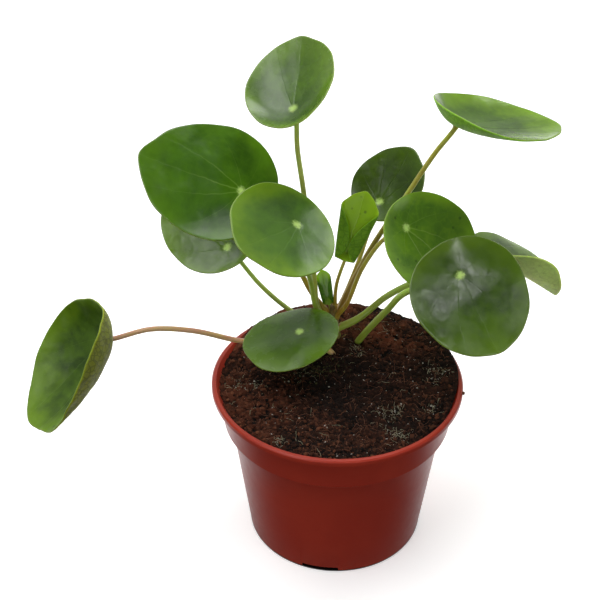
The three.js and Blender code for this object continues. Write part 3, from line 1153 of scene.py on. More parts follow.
def draw_tubes(name: str, lines: Sequence[Sequence[Sequence[float]]], radii: Sequence[np.ndarray],
               depth: float, roundness: int) -> bpy.types.Object:
    """Draws closed tubes along lines, all in one mesh.

    Args:
        name: the piece's name.
        lines: the points of each tube's middle line, in metres.
        radii: the radius at each point of each tube, in depths.
        depth: what a radius of one stands for, in metres.
        roundness: how often a tube's section is rounded, 0 for a square.

    Returns:
        The mesh object.
    """
    curve = bpy.data.curves.new(name, "CURVE")
    curve.dimensions = "3D"
    curve.bevel_depth = depth
    curve.bevel_resolution = roundness
    curve.use_fill_caps = True
    for line, line_radii in zip(lines, radii):
        spline = curve.splines.new("POLY")
        spline.points.add(len(line) - 1)
        for point, place, radius in zip(spline.points, line, line_radii):
            point.co = (*place, 1)
            point.radius = radius
    drawn = bpy.data.objects.new(name, curve)
    bpy.context.collection.objects.link(drawn)
    select_only(drawn)
    bpy.ops.object.convert(target="MESH")
    return take(name)


@dataclass
class PottingSoil:
    """The soil: one heaped, crumbly body, with loose crumbs, fibres and perlite on it."""

    pot: NurseryPot
    front_level: float = 83.5 * MM
    heap_rise: float = 5.5 * MM
    heap_start: float = -15 * MM
    heap_end: float = 42 * MM
    heap_heading: float = 68.0
    wall_gap: float = 0.35 * MM
    grid: int = 250
    crumbs: int = 4200
    fibres: int = 480
    pale_loose: int = 45
    specks: int = 260
    # random tint and darkness of each crumb, carried by the same attributes as the painted crest highlight
    # and hollow shade
    grain_looks: dict[str, tuple[float, ...]] = field(default_factory=lambda: {
        "tint": (0.0, 0.0, 0.3, 0.7, 1.7), "hollow_shade_and_dark_crumbs": (0.0, 0.0, 0.2, 0.5, 0.7)})
    # painted shade under the leaves: across and back of each patch in millimetres, its spread in millimetres
    # and its weight
    painted_shade_spots: tuple[tuple[float, float, float, float], ...] = (
        (6, 12, 15, 1.0), (-8, 2, 13, 0.8), (14, -22, 17, 0.8), (-4, -10, 14, 0.6),
        (44, 6, 9, 0.7), (30, -36, 9, 0.6), (32, 4, 17, 0.5), (44, -16, 12, 0.4))
    tuft_spots: tuple[Place, ...] = (
        (-46, -2, 6), (-38, -2, 4), (-16.4, 5, 4), (10.6, 19, 4), (27.4, -21.5, 4), (22, -25, 6),
        (51, 3.4, 4), (46, 2, 6), (29, -40, 3), (24, -38, 5), (-28, -43, 3), (44, -20, 4))
    perlite_spots: tuple[Place, ...] = (
        (-6.3, -33, 0.55), (-5.4, -35, 0.5), (-4, -3.6, 0.5), (29, 26.4, 0.6), (46.3, 24.7, 0.5),
        (-44, -4, 0.4), (12, 16, 0.4), (20, -12, 0.3), (-24, -20, 0.3), (36, -2, 0.35), (4, -22, 0.25))
    lip_crumb: Place = (59.2, -11.5, 0.9)
    moss_middle: tuple[float, float] = (-8, 8)
    moss_spread: tuple[float, float] = (7, 3.5)
    moss_grains: int = 140
    strands_in_tuft: int = 22
    grains_in_tuft: int = 9
    strewn_radius: float = 54 * MM
    pale_fibre_radius: float = 0.085 * MM
    coir_fibre_radius: float = 0.065 * MM
    strand_steps: int = 8
    strand_turn: float = 0.3
    strand_lift: float = 0.12 * MM
    grain_models: int = 5
    grain_tilt: float = 0.6
    small_bias: float = 2.6
    grain_rise: float = 0.25
    edge_tuck: float = 1.3 * MM
    edge_start: float = 0.93
    edge_drop: float = 0.3 * MM
    spill_levels: tuple[float, float] = (85 * MM, 88 * MM)
    spill_share: float = 0.028
    spill_rise: float = 0.5 * MM
    hollow_shade_depth: float = 3.0 * MM
    seed: int = 41

    def level(self, x: np.ndarray | float, y: np.ndarray | float) -> np.ndarray | float:
        """Gives the smooth soil level, without its crumbs.

        Args:
            x: across, in metres.
            y: towards the back, in metres.

        Returns:
            The level's height in metres.
        """
        heading = math.radians(self.heap_heading)
        along = x * math.cos(heading) + y * math.sin(heading)
        return self.front_level + self.heap_rise * smooth_step(self.heap_start, self.heap_end, along)

    def relief(self, x: float, y: float) -> float:
        """Gives the height of the crumbly relief over the level at a place.

        Args:
            x: across, in metres.
            y: towards the back, in metres.

        Returns:
            A height in metres, mostly within two millimetres of zero.
        """
        place = Vector((x / MM, y / MM, 0.0))
        broad = noise.fractal(place / 15, 1.0, 2.0, 3) * 0.7
        lumps = noise.fractal(place / 4 + Vector((7, 3, 0)), 0.8, 2.1, 4) * 1.1
        near = noise.voronoi(place / 2.6 + Vector((0, 0, 5)))[0]
        crumbs = (0.45 - near[0]) * 1.5 + (near[1] - near[0]) * 0.5
        small = noise.voronoi(place / 1.05 + Vector((0, 0, 9)))[0]
        grit = (0.5 - small[0]) * 0.9
        return (broad + lumps + crumbs * 0.8 + grit) * MM

    def painted_shade(self, x: np.ndarray, y: np.ndarray) -> np.ndarray:
        """Gives how far the mix is darkened with painted shade, in soft patches where the leaves shade it.

        Args:
            x: across, in metres.
            y: towards the back, in metres.

        Returns:
            A number from 0 to 1 for each place.
        """
        total = np.zeros_like(x)
        for cx, cy, spread, weight in self.painted_shade_spots:
            total += weight * np.exp(-((x / MM - cx) ** 2 + (y / MM - cy) ** 2) / spread ** 2)
        return np.clip(total, 0, 1)

    def body(self) -> bpy.types.Object:
        """Makes the soil's body from a grid whose square is rounded to a disc.

        Returns:
            The closed body.
        """
        top_radius = self.pot.collar_top_radius + self.edge_tuck
        bpy.ops.mesh.primitive_grid_add(x_subdivisions=self.grid, y_subdivisions=self.grid, size=2)
        piece = take("potting_soil")
        places = vertex_array(piece)
        x, y = places[:, 0], places[:, 1]
        flat_x = x * np.sqrt(1 - y * y / 2)
        flat_y = y * np.sqrt(1 - x * x / 2)
        places[:, 0] = flat_x * top_radius
        places[:, 1] = flat_y * top_radius
        relief = np.array([self.relief(px, py) for px, py, _ in places])
        edge = np.hypot(flat_x, flat_y)
        lowered = smooth_step(self.edge_start, 1.0, edge)
        relief = relief * (1 - 0.4 * lowered) - self.edge_drop * lowered
        level = self.level(places[:, 0], places[:, 1])
        spilled = smooth_step(*self.spill_levels, level) * smooth_step(0.8, 1.0, edge)
        places[:, :2] *= (1 + self.spill_share * spilled)[:, None]
        places[:, 2] = level + relief + self.spill_rise * spilled
        write_vertices(piece, places)
        # painted shade: how deep each place lies in the relief, to darken its hollows
        hollow_shade_and_dark_crumbs = np.clip(0.42 - relief / self.hollow_shade_depth, 0, 1)
        # painted shade under the leaves
        painted_shade = self.painted_shade(places[:, 0], places[:, 1])
        self.close_below(top_radius)
        for name, values in (("hollow_shade_and_dark_crumbs", hollow_shade_and_dark_crumbs), ("painted_shade", painted_shade)):
            full = np.full(len(piece.data.vertices), 0.3)
            full[:len(values)] = values
            write_attribute(piece, name, full)
        shade_smooth(piece, 60)
        return piece

    def close_below(self, top_radius: float) -> None:
        """Draws the active grid's edge down along the pot's wall and closes it over the floor.

        Args:
            top_radius: the radius of the grid's edge.
        """
        pot = self.pot
        ledge = pot.height - pot.collar_height
        corners = [
            (pot.collar_top_radius - pot.wall, pot.height - pot.flare_height + pot.wall),
            (pot.collar_foot_radius - pot.wall, ledge + pot.wall),
            (pot.outer_radius(ledge - pot.wall) - pot.wall, ledge - pot.wall),
            (pot.outer_radius(pot.floor) - pot.wall, pot.floor + self.wall_gap),
        ]
        bpy.ops.object.mode_set(mode="EDIT")
        bpy.ops.mesh.select_mode(type="EDGE")
        bpy.ops.mesh.select_all(action="DESELECT")
        bpy.ops.mesh.select_non_manifold()
        radius = top_radius
        for number, (corner_radius, height) in enumerate(corners):
            next_radius = corner_radius - self.wall_gap
            bpy.ops.mesh.extrude_edges_move(TRANSFORM_OT_translate={"value": (0, 0, -1 * MM)})
            if number == 0:
                bpy.ops.transform.resize(value=(1, 1, 0), center_override=(0, 0, height))
            else:
                bpy.ops.transform.translate(value=(0, 0, height + 1 * MM - last_height))
            shrink = next_radius / radius
            bpy.ops.transform.resize(value=(shrink, shrink, 1), center_override=(0, 0, height))
            radius, last_height = next_radius, height
        bpy.ops.mesh.edge_face_add()
        bpy.ops.mesh.select_all(action="SELECT")
        bpy.ops.mesh.normals_make_consistent(inside=False)
        bpy.ops.object.mode_set(mode="OBJECT")

    def surface(self, x: float, y: float) -> float:
        """Gives the height of what a bit can lie on: the soil, or the pot's lip beyond it.

        Args:
            x: across, in metres.
            y: towards the back, in metres.

        Returns:
            The height in metres.
        """
        if math.hypot(x, y) > self.pot.rim_radius - self.pot.lip_width:
            return self.pot.height
        return float(self.level(x, y)) + self.relief(x, y)

    def prototypes(self) -> list[bpy.types.Object]:
        """Shapes a few lumpy grains of one metre's radius, to be copied small.

        Returns:
            The grains, each with the attributes of grain_looks.
        """
        grains = []
        for number in range(self.grain_models):
            deselect_all()
            bpy.ops.mesh.primitive_ico_sphere_add(subdivisions=1, radius=1)
            grain = take(f"grain_{number}")
            bpy.ops.object.mode_set(mode="EDIT")
            bpy.ops.mesh.select_all(action="SELECT")
            bpy.ops.transform.vertex_random(offset=0.35, uniform=0.4, normal=0.3, seed=number + 1)
            bpy.ops.object.mode_set(mode="OBJECT")
            for name in self.grain_looks:
                write_attribute(grain, name, np.ones(len(grain.data.vertices)))
            grains.append(grain)
        return grains

    def scatter(self, name: str, finish: SoilFinish, places: Sequence[Place], flatness: float) -> None:
        """Strews copies of lumpy grains on the surface and joins them in one piece.

        Args:
            name: the piece's name.
            finish: the grains' finish.
            places: across, towards the back, and each grain's radius.
            flatness: how flat the grains lie, 1 for round.
        """
        chance = random.Random(self.seed + len(places))
        grains = self.prototypes()
        material = finish.make()
        tilt = self.grain_tilt
        copies = []
        for x, y, radius in places:
            model = chance.choice(grains)
            grain = bpy.data.objects.new(name, model.data.copy())
            for look, choices in self.grain_looks.items():
                value = chance.choice(choices)
                grain.data.attributes[look].data.foreach_set("value", [value] * len(grain.data.vertices))
            grain.location = (x, y, self.surface(x, y) + radius * flatness * self.grain_rise)
            grain.rotation_euler = (chance.uniform(-tilt, tilt), chance.uniform(-tilt, tilt),
                                    chance.uniform(0, 6.3))
            grain.scale = (radius * chance.uniform(0.7, 1.5), radius * chance.uniform(0.7, 1.2),
                           radius * flatness * chance.uniform(0.7, 1.2))
            bpy.context.collection.objects.link(grain)
            copies.append(grain)
        for model in grains:
            bpy.data.objects.remove(model, do_unlink=True)
        select_only(*copies)
        bpy.ops.object.join()
        piece = take(name)
        settle(piece)
        corners = vertex_array(piece)
        # painted shade under the leaves, as on the soil's body
        write_attribute(piece, "painted_shade", self.painted_shade(corners[:, 0], corners[:, 1]))
        piece.data.materials.append(material)
        hand_over(piece, "potting_soil")

    def random_places(self, count: int, small: float, large: float, seed: int,
                      reach: float = 1.0) -> list[Place]:
        """Picks grain places over the pot's mouth, small ones far more often than large.

        Args:
            count: how many.
            small: the smallest radius.
            large: the largest radius.
            seed: the seed of the choice.
            reach: the share of the mouth's radius that is strewn.

        Returns:
            Across, towards the back, and radius of each.
        """
        chance = random.Random(seed)
        reach_radius = (self.pot.collar_top_radius + 0.4 * MM) * reach
        places = []
        for _ in range(count):
            away = reach_radius * math.sqrt(chance.random())
            turn = chance.uniform(0, 2 * math.pi)
            size = small + (large - small) * chance.random() ** self.small_bias
            places.append((away * math.cos(turn), away * math.sin(turn), size))
        return places

    def fibre_piece(self, name: str, finish: SoilFinish, strands: Sequence[list[Vector]],
                    radius: float) -> None:
        """Lays thin strands on the soil, all in one piece.

        Args:
            name: the piece's name.
            finish: the strands' finish.
            strands: the points of each strand.
            radius: the strands' radius.
        """
        shares = np.arange(self.strand_steps + 1) / self.strand_steps
        radii = 1 - 0.6 * np.abs(shares - 0.4)
        piece = draw_tubes(name, strands, [radii] * len(strands), radius, 0)
        piece.data.materials.append(finish.make())
        hand_over(piece, "potting_soil")

    def strand(self, chance: random.Random, x: float, y: float, length: float, arch: float) -> list[Vector]:
        """Draws one wandering strand from a place on the soil.

        Args:
            chance: the source of its turns.
            x: where it starts, across.
            y: where it starts, towards the back.
            length: how long it is.
            arch: how high its middle rises off the soil.

        Returns:
            Its points.
        """
        heading = chance.uniform(0, 2 * math.pi)
        steps = self.strand_steps
        limit = self.pot.collar_top_radius - 1.5 * MM
        points = []
        for number in range(steps + 1):
            rise = arch * math.sin(math.pi * (number / steps))
            points.append(Vector((x, y, self.surface(x, y) + self.strand_lift + rise)))
            heading += chance.uniform(-self.strand_turn, self.strand_turn)
            x += math.cos(heading) * length / steps
            y += math.sin(heading) * length / steps
            away = math.hypot(x, y)
            if away > limit:
                x, y = x * limit / away, y * limit / away
        return points

    def tufts(self, chance: random.Random) -> list[list[Vector]]:
        """Gathers strands in tufts.

        Args:
            chance: the source of their places.

        Returns:
            The strands.
        """
        strands = []
        for x, y, spread in self.tuft_spots:
            for _ in range(self.strands_in_tuft):
                sx = (x + chance.gauss(0, spread / 2)) * MM
                sy = (y + chance.gauss(0, spread / 2)) * MM
                strands.append(self.strand(chance, sx, sy, chance.uniform(0.9, 3.2) * MM,
                                           chance.uniform(0.1, 0.7) * MM))
        return strands

    def loose_strands(self, chance: random.Random, count: int, short: float,
                      long: float) -> list[list[Vector]]:
        """Strews single strands over the pot's mouth.

        Args:
            chance: the source of their places.
            count: how many.
            short: the shortest, in millimetres.
            long: the longest, in millimetres.

        Returns:
            The strands.
        """
        strands = []
        for _ in range(count):
            away = self.strewn_radius * math.sqrt(chance.random())
            turn = chance.uniform(0, 2 * math.pi)
            strands.append(self.strand(chance, away * math.cos(turn), away * math.sin(turn),
                                       chance.uniform(short, long) * MM, chance.uniform(0, 0.7) * MM))
        return strands

    def moss_places(self, chance: random.Random) -> list[Place]:
        """Picks the places of the moss around the stem.

        Args:
            chance: the source of the choice.

        Returns:
            Across, towards the back, and radius of each grain.
        """
        (x, y), (wide, deep) = self.moss_middle, self.moss_spread
        return [((x + chance.gauss(0, wide)) * MM, (y + chance.gauss(0, deep)) * MM,
                 chance.uniform(0.2, 0.7) * MM) for _ in range(self.moss_grains)]

    def perlite_places(self, chance: random.Random) -> list[Place]:
        """Picks the places of the perlite: the large bits, some in the tufts, and specks all over.

        Args:
            chance: the source of the places in the tufts.

        Returns:
            Across, towards the back, and radius of each bit.
        """
        bits = list(self.perlite_spots)
        for x, y, spread in self.tuft_spots:
            bits += [(x + chance.gauss(0, spread / 2), y + chance.gauss(0, spread / 2),
                      chance.uniform(0.16, 0.4)) for _ in range(self.grains_in_tuft)]
        specks = self.random_places(self.specks, 0.17 * MM, 0.5 * MM, self.seed + 5, 0.95)
        return [(x * MM, y * MM, size * MM) for x, y, size in bits] + specks

    def build(self) -> None:
        """Builds the soil and what lies on it, and seats them on the frame."""
        deselect_all()
        body = self.body()
        peat = SoilFinish(SoilKind.PEAT, (16, 10, 7), (44, 25, 16), (112, 59, 38))
        body.data.materials.append(peat.make())
        hand_over(body, "potting_soil", "soil")
        coir = SoilFinish(SoilKind.COIR, (34, 20, 13), (66, 40, 27), (110, 74, 50), grain=1400)
        moss = SoilFinish(SoilKind.MOSS, (44, 48, 26), (74, 76, 46), (118, 116, 80), (96, 98, 60), grain=1400)
        pale = SoilFinish(SoilKind.FIBRE, (150, 148, 118), (192, 188, 160), (226, 222, 204),
                          grain=1600, roughness=0.8)
        root = SoilFinish(SoilKind.ROOT, (122, 78, 60), (168, 116, 90), (212, 166, 136),
                          grain=500, roughness=0.8)
        white = SoilFinish(SoilKind.PERLITE, (186, 182, 172), (214, 212, 204), (236, 234, 228), (104, 78, 60),
                           grain=1500)
        large = self.random_places(self.crumbs, 0.18 * MM, 1.1 * MM, self.seed)
        large.append(tuple(value * MM for value in self.lip_crumb))
        small = self.random_places(self.crumbs // 2, 0.2 * MM, 0.9 * MM, self.seed + 1)
        chance = random.Random(self.seed + 2)
        for name, finish, places, flatness in (
                ("peat_crumbs", peat, large, 0.75),
                ("coir_crumbs", coir, small, 0.7),
                ("moss_bits", moss, self.moss_places(chance), 0.6),
                ("perlite_bits", white, self.perlite_places(chance), 0.8)):
            self.scatter(name, finish, places, flatness)
        chance = random.Random(self.seed + 4)
        tufts = self.tufts(random.Random(self.seed + 3))
        tufts += self.loose_strands(chance, self.pale_loose, 3, 8)
        self.fibre_piece("pale_fibres", pale, tufts, self.pale_fibre_radius)
        coir_strands = self.loose_strands(chance, self.fibres, 1.5, 7)
        self.fibre_piece("coir_fibres", root, coir_strands, self.coir_fibre_radius)


# ------------------------------------------------------------------ stem and leaves


def smooth_path(places: Sequence[Place], steps: int) -> np.ndarray:
    """Draws a centripetal curve through places.

    Args:
        places: the places the curve goes through.
        steps: how many points each stretch gets.

    Returns:
        Rows of points, the last place included.
    """
    knots = [np.array(place, dtype=float) for place in places]
    knots = [2 * knots[0] - knots[1], *knots, 2 * knots[-1] - knots[-2]]
    rows = []
    for before, start, end, after in zip(knots, knots[1:], knots[2:], knots[3:]):
        first, middle, last = (max(math.sqrt(float(np.linalg.norm(b - a))), 1e-4)
                               for a, b in ((before, start), (start, end), (end, after)))
        leave = (start - before) / first - (end - before) / (first + middle) + (end - start) / middle
        arrive = (end - start) / middle - (after - start) / (middle + last) + (after - end) / last
        leave, arrive = leave * middle, arrive * middle
        for step in range(steps):
            t = step / steps
            rows.append(start + leave * t + (3 * (end - start) - 2 * leave - arrive) * t * t
                        + (2 * (start - end) + leave + arrive) * t ** 3)
    return np.array([*rows, knots[-2]])


def lengths_along(rows: np.ndarray) -> np.ndarray:
    """Gives how far along a line each of its points lies, from 0 at the first."""
    return np.concatenate([[0], np.cumsum(np.linalg.norm(np.diff(rows, axis=0), axis=1))])


def tube(name: str, rows: np.ndarray, radii: np.ndarray, sides: int = 16) -> bpy.types.Object:
    """Draws a closed tube along points, with a radius at each.

    Args:
        name: the piece's name.
        rows: the points of its middle line, in metres.
        radii: the radius at each point, in metres.
        sides: sides of its section, a multiple of four.

    Returns:
        The mesh object, with the attributes "along" and "upper" and a flat map.
    """
    piece = draw_tubes(name, [rows], [radii], 1.0, sides // 4 - 1)
    places = vertex_array(piece)
    near = np.argmin(np.linalg.norm(places[:, None, :] - rows[None, :, :], axis=2), axis=1)
    lengths = lengths_along(rows)
    along = lengths[near] / lengths[-1]
    away = (places - rows[near]) / np.maximum(radii[near], 1e-6)[:, None]
    write_attribute(piece, "along", along)
    write_attribute(piece, "upper", (away[:, 2] + 1) / 2)
    drift = along[:, None] * np.array([[0.02, 0.013]])
    write_uv(piece, 0.5 + 0.05 * away[:, :2] + drift)
    shade_smooth(piece, 60)
    return piece


@dataclass
class MainStem:
    """The short leaning stem, faintly ringed, and the dry scales at its top."""

    foot: Place = (2, 30, 76)
    top: Place = (-2, 32, 106)
    foot_radius: float = 2.8
    top_radius: float = 1.5
    skin: StemSkin = field(default_factory=StemSkin)
    steps: int = 44
    ring_depth: float = 0.12
    ring_pace: float = 20.0
    lump_share: float = 0.09
    lump_fineness: float = 420.0
    scale_count: int = 12
    scale_steps: int = 7
    scale_turn: float = 137.5
    scale_start: float = 0.35
    scale_spacing: float = 0.055
    scale_sunk: float = 0.3
    scale_curl: float = 0.35

    def axis(self, share: float) -> np.ndarray:
        """Gives a place on the middle line, 0 at the foot and 1 at the top, in millimetres."""
        return np.array(self.foot) * (1 - share) + np.array(self.top) * share

    def radius(self, share: float) -> float:
        """Gives the stem's radius at a share of its length, in millimetres."""
        return self.foot_radius + (self.top_radius - self.foot_radius) * share

    def build(self) -> None:
        """Builds the stem and its scales, and seats them on the frame."""
        shares = np.linspace(0, 1.0, self.steps + 1)
        rows = np.array([self.axis(share) for share in shares])
        rings = self.ring_depth * np.abs(np.sin(shares * self.ring_pace)) - 0.10
        ends = np.where(shares > 0.96, 0.8, 1.0)
        radii = np.array([self.radius(share) for share in shares]) * ends + rings
        piece = tube("short_stem", rows * MM, radii * MM, 20)
        places = vertex_array(piece)
        heights = np.clip((places[:, 2] / MM - self.foot[2]) / (self.top[2] - self.foot[2]), 0, 1)
        middle = np.array([self.axis(share) for share in heights]) * MM
        lumps = np.array([noise.fractal(Vector(place) * self.lump_fineness, 1.0, 2.0, 3) for place in places])
        write_vertices(piece, middle + (places - middle) * (1 + self.lump_share * lumps)[:, None])
        piece.data.materials.append(self.skin.make())
        hand_over(piece, "stem_skin", "main_stem")
        self.scales()

    def scales(self) -> None:
        """Adds the small dry scales that the leaves leave around the top of the stem."""
        skin = StalkSkin("scale", foot=(150, 132, 84), top=(170, 140, 86), blush=(130, 86, 50),
                         blush_share=0.7).make()
        chance = random.Random(5)
        along = np.linspace(0, 1, self.scale_steps)
        for number in range(self.scale_count):
            share = self.scale_start + self.scale_spacing * number
            turn = number * self.scale_turn
            outwards = np.array(direction(turn, 0))
            lean = np.array(direction(turn, chance.uniform(35, 65)))
            start = self.axis(share) + outwards * (self.radius(share) - self.scale_sunk)
            length = chance.uniform(2.2, 4.2)
            rows = np.array([start + lean * length * step + outwards * self.scale_curl * step * step
                             for step in along])
            radii = chance.uniform(0.55, 0.8) * (1 - along ** 1.5 * 0.93)
            piece = tube(f"stem_scale_{number + 1:02d}", rows * MM, radii * MM, 8)
            piece.data.materials.append(skin)
            hand_over(piece, "stalk_skin")


@dataclass(frozen=True)
class Roll:
    """How the sides of a young blade roll over its middle, in millimetres."""

    base_half: float
    tip_half: float
    radius: float


@dataclass(frozen=True)
class Blade:
    """A blade's place and shape, in millimetres and degrees."""

    hub: Place
    facing: tuple[float, float]
    tip: float
    length: float
    width: float
    hub_to_base: float
    dish: float = 0.0
    saddle: float = 0.0
    taper: float = 0.0
    point: float = 1.0
    droop: float = 0.0
    lift: float = 0.0
    fold: float = 0.0
    roll: Roll | None = None
    wave: float = 0.35
    relief: float = 0.2
    relief_grain: float = 10.0
    crease: tuple[float, float] | None = None
    bulges: tuple[tuple[float, float, float], ...] = ()
    thickness: float = 1.2
    margin_thickness: float = 0.8
    point_spread: float = 0.25

    def frame(self) -> np.ndarray:
        """Gives the blade's own directions.

        Returns:
            Three rows: to its point, across, and out of its face.
        """
        up = direction(*self.facing)
        heading = direction(self.tip, 0)
        heading.z = -(up.x * heading.x + up.y * heading.y) / up.z
        heading.normalize()
        return np.array([heading, up.cross(heading), up])

    def margin(self, turn: np.ndarray) -> tuple[np.ndarray, np.ndarray]:
        """Gives the outline of the flat blade.

        Args:
            turn: the turns around the blade's middle, 0 at its point.

        Returns:
            How far along and how far across each lies from the hub.
        """
        half = self.length / 2
        away = np.minimum(turn, 2 * np.pi - turn) / self.point_spread
        along = half - self.hub_to_base + half * np.cos(turn) + self.point * np.exp(-away * away)
        across = self.width / 2 * np.sin(turn) * (1 - self.taper * np.cos(turn))
        uneven = 1 + 0.004 * np.sin(7 * turn + self.length) + 0.003 * np.sin(12 * turn + self.tip)
        for middle, spread, grow in self.bulges:
            off = np.abs(np.mod(turn - np.radians(middle) + np.pi, 2 * np.pi) - np.pi) / np.radians(spread)
            uneven = uneven + 2 * grow / self.length * np.exp(-off * off)
        return along * uneven, across * uneven

    def rolled(self, along: np.ndarray, across: np.ndarray) -> tuple[np.ndarray, np.ndarray]:
        """Rolls the sides of a young blade over its middle.

        Args:
            along: distances from the hub towards the point.
            across: distances from the midrib in the flat blade.

        Returns:
            The distances across after the roll, and how far each place has risen.
        """
        if self.roll is None:
            return across, np.zeros_like(across)
        share = np.clip((along + self.hub_to_base) / self.length, 0, 1)
        half = self.roll.base_half + (self.roll.tip_half - self.roll.base_half) * share
        radius = self.roll.radius
        rest = np.abs(across) - half
        bend = np.clip(rest / radius, 0, np.pi)
        beyond = np.maximum(rest - np.pi * radius, 0)
        turned = np.sign(across) * (half + radius * np.sin(bend) - beyond)
        return np.where(rest <= 0, across, turned), radius * (1 - np.cos(bend))

    def upper_face(self, share: np.ndarray, turn: np.ndarray) -> tuple[np.ndarray, np.ndarray, np.ndarray]:
        """Places points on the upper face.

        Args:
            share: 0 at the hub to 1 at the margin.
            turn: the turn around the blade's middle.

        Returns:
            Rows of places in the blade's own directions, and how far along and across each is when flat.
        """
        edge_along, edge_across = self.margin(turn)
        along, flat = edge_along * share, edge_across * share
        across, rise = self.rolled(along, flat)
        along_share, across_share = along / (self.length / 2), flat / (self.width / 2)
        droop = self.droop * np.maximum(0, along / self.length) ** 2
        side = np.sign(self.lift) or 1.0
        fold = math.radians(self.fold)
        beyond = side * across_share * math.cos(fold) + along_share * math.sin(fold)
        folded = abs(self.lift) * np.maximum(0, beyond) ** 2
        cup = self.dish * share ** 2 + self.saddle * (along_share ** 2 - across_share ** 2)
        if self.crease is not None:
            start, slope = self.crease
            cup = cup + slope * 1.5 * np.log1p(np.exp(np.clip((along - start) / 1.5, -30, 30)))
        wave = self.wave * share ** 2 * (np.sin(3 * turn + self.length) + 0.6 * np.sin(5 * turn + self.width))
        quilt = -0.22 * np.exp(-((share - 0.03) / 0.07) ** 2)
        return np.stack([along, across, cup - droop + folded + rise + wave + quilt], axis=1), along, flat


class SkinSlot(Enum):
    """The two sides of a blade, in the order of its material slots."""

    UPPER = 0
    UNDER = 1


@dataclass(frozen=True)
class Stalk:
    """A stalk's route from the stem or the soil to its blade, in millimetres."""

    radius: float
    via: tuple[Place, ...] = ()
    foot: Place | None = None
    height: float = 0.0
    heading: float = 0.0
    neck: float = 5.0
    swelling: float = 0.22
    slimming: float = 0.10
    flare: float = 0.5
    flare_reach: float = 1.6
    foot_reach: float = 0.2
    sunk_share: float = 0.6
    steps: int = 12


@dataclass(frozen=True)
class Leaf:
    """One leaf: its blade, its stalk and their finishes."""

    name: str
    blade: Blade
    stalk: Stalk
    tone: LeafTone
    skin: StalkSkin
    segments: int = 112
    rings: int = 48
    blade_slot: str = "leaf_skin"

    def build(self, stem: MainStem) -> None:
        """Builds the blade and the stalk, and seats them on the frame.

        Args:
            stem: the stem that the stalk grows from.
        """
        self.build_blade()
        self.build_stalk(stem)

    def build_blade(self) -> None:
        """Shapes the blade from a sphere: one half is its upper side, the other its underside."""
        shape = self.blade
        deselect_all()
        bpy.ops.mesh.primitive_uv_sphere_add(segments=self.segments, ring_count=self.rings, radius=1)
        piece = take(f"{self.name}_blade")
        ball = vertex_array(piece)
        share = np.clip(np.hypot(ball[:, 0], ball[:, 1]), 0, 1)
        turn = np.mod(np.arctan2(ball[:, 1], ball[:, 0]), 2 * np.pi)
        side = np.where(np.abs(ball[:, 2]) < 1e-4, 0, np.sign(ball[:, 2]))
        centre, along, flat = shape.upper_face(share, turn)
        step, least = 1e-3, 0.02
        inner = np.maximum(share, least)
        outwards = shape.upper_face(inner + step, turn)[0] - shape.upper_face(inner - step, turn)[0]
        around = (shape.upper_face(inner, np.mod(turn + step, 2 * np.pi))[0]
                  - shape.upper_face(inner, np.mod(turn - step, 2 * np.pi))[0])
        normal = np.cross(outwards, around)
        normal[share < least] = (0, 0, 1)
        normal /= np.linalg.norm(normal, axis=1)[:, None]
        thick = shape.thickness + (shape.margin_thickness - shape.thickness) * share
        start = 1 - shape.margin_thickness / shape.width
        rounding = np.sqrt(np.clip(1 - (np.maximum(share - start, 0) / (1 - start)) ** 2, 0, 1))
        lumps = np.array([noise.fractal(Vector((a, b, shape.tip)) / shape.relief_grain, 1.0, 2.0, 2)
                          for a, b in zip(along, flat)])
        centre = centre + normal * (lumps * shape.relief * share)[:, None]
        places = centre + normal * (thick * (side * rounding - 1) / 2)[:, None]
        write_vertices(piece, (places @ shape.frame() + np.array(shape.hub)) * MM)
        self.name_sides(piece, ball)
        write_attribute(piece, "margin", share)
        write_uv(piece, np.stack([along, flat], axis=1) / FLAT_MAP_MM + 0.5)
        shade_smooth(piece, 180)
        reach = (shape.length - shape.hub_to_base) * 0.95
        for skin in (BladeSkin, BladeUnderside):
            piece.data.materials.append(skin(self.name, self.tone, reach).make())
        hand_over(piece, self.blade_slot, f"leaf_{self.name}_blade")

    def name_sides(self, piece: bpy.types.Object, ball: np.ndarray) -> None:
        """Gives each face the slot of its side.

        Args:
            piece: the blade.
            ball: the places its vertices had on the sphere.
        """
        for face in piece.data.polygons:
            height = sum(ball[index, 2] for index in face.vertices)
            face.material_index = (SkinSlot.UPPER if height > 0 else SkinSlot.UNDER).value

    def build_stalk(self, stem: MainStem) -> None:
        """Draws the stalk from inside the stem or the soil to inside the blade.

        Args:
            stem: the stem that the stalk grows from.
        """
        shape, route = self.blade, self.stalk
        up = np.array(direction(*shape.facing))
        hub = np.array(shape.hub, dtype=float)
        if route.foot is not None:
            foot = np.array(route.foot, dtype=float)
            foot = foot + (foot - np.array(route.via[0])) * route.foot_reach
        else:
            share = route.height / float(np.linalg.norm(stem.axis(1) - stem.axis(0)))
            outwards = np.array(direction(route.heading, 0))
            foot = stem.axis(share) + outwards * (stem.radius(share) - route.sunk_share * route.radius)
        neck = hub - up * (shape.thickness + route.neck)
        end = hub - up * shape.thickness * route.sunk_share
        rows = smooth_path([tuple(foot), *route.via, tuple(neck), tuple(end)], route.steps)
        lengths = lengths_along(rows)
        share = lengths / lengths[-1]
        left = lengths[-1] - lengths
        radii = route.radius * (1 + route.swelling * (1 - smooth_step(0, 0.25, share))
                                - route.slimming * smooth_step(0.3, 1.0, share)
                                + route.flare * np.exp(-(left / route.flare_reach) ** 2))
        piece = tube(f"{self.name}_stalk", rows * MM, radii * MM)
        piece.data.materials.append(self.skin.make())
        hand_over(piece, "stalk_skin", f"leaf_{self.name}_stalk")


# ------------------------------------------------------------------ the stage


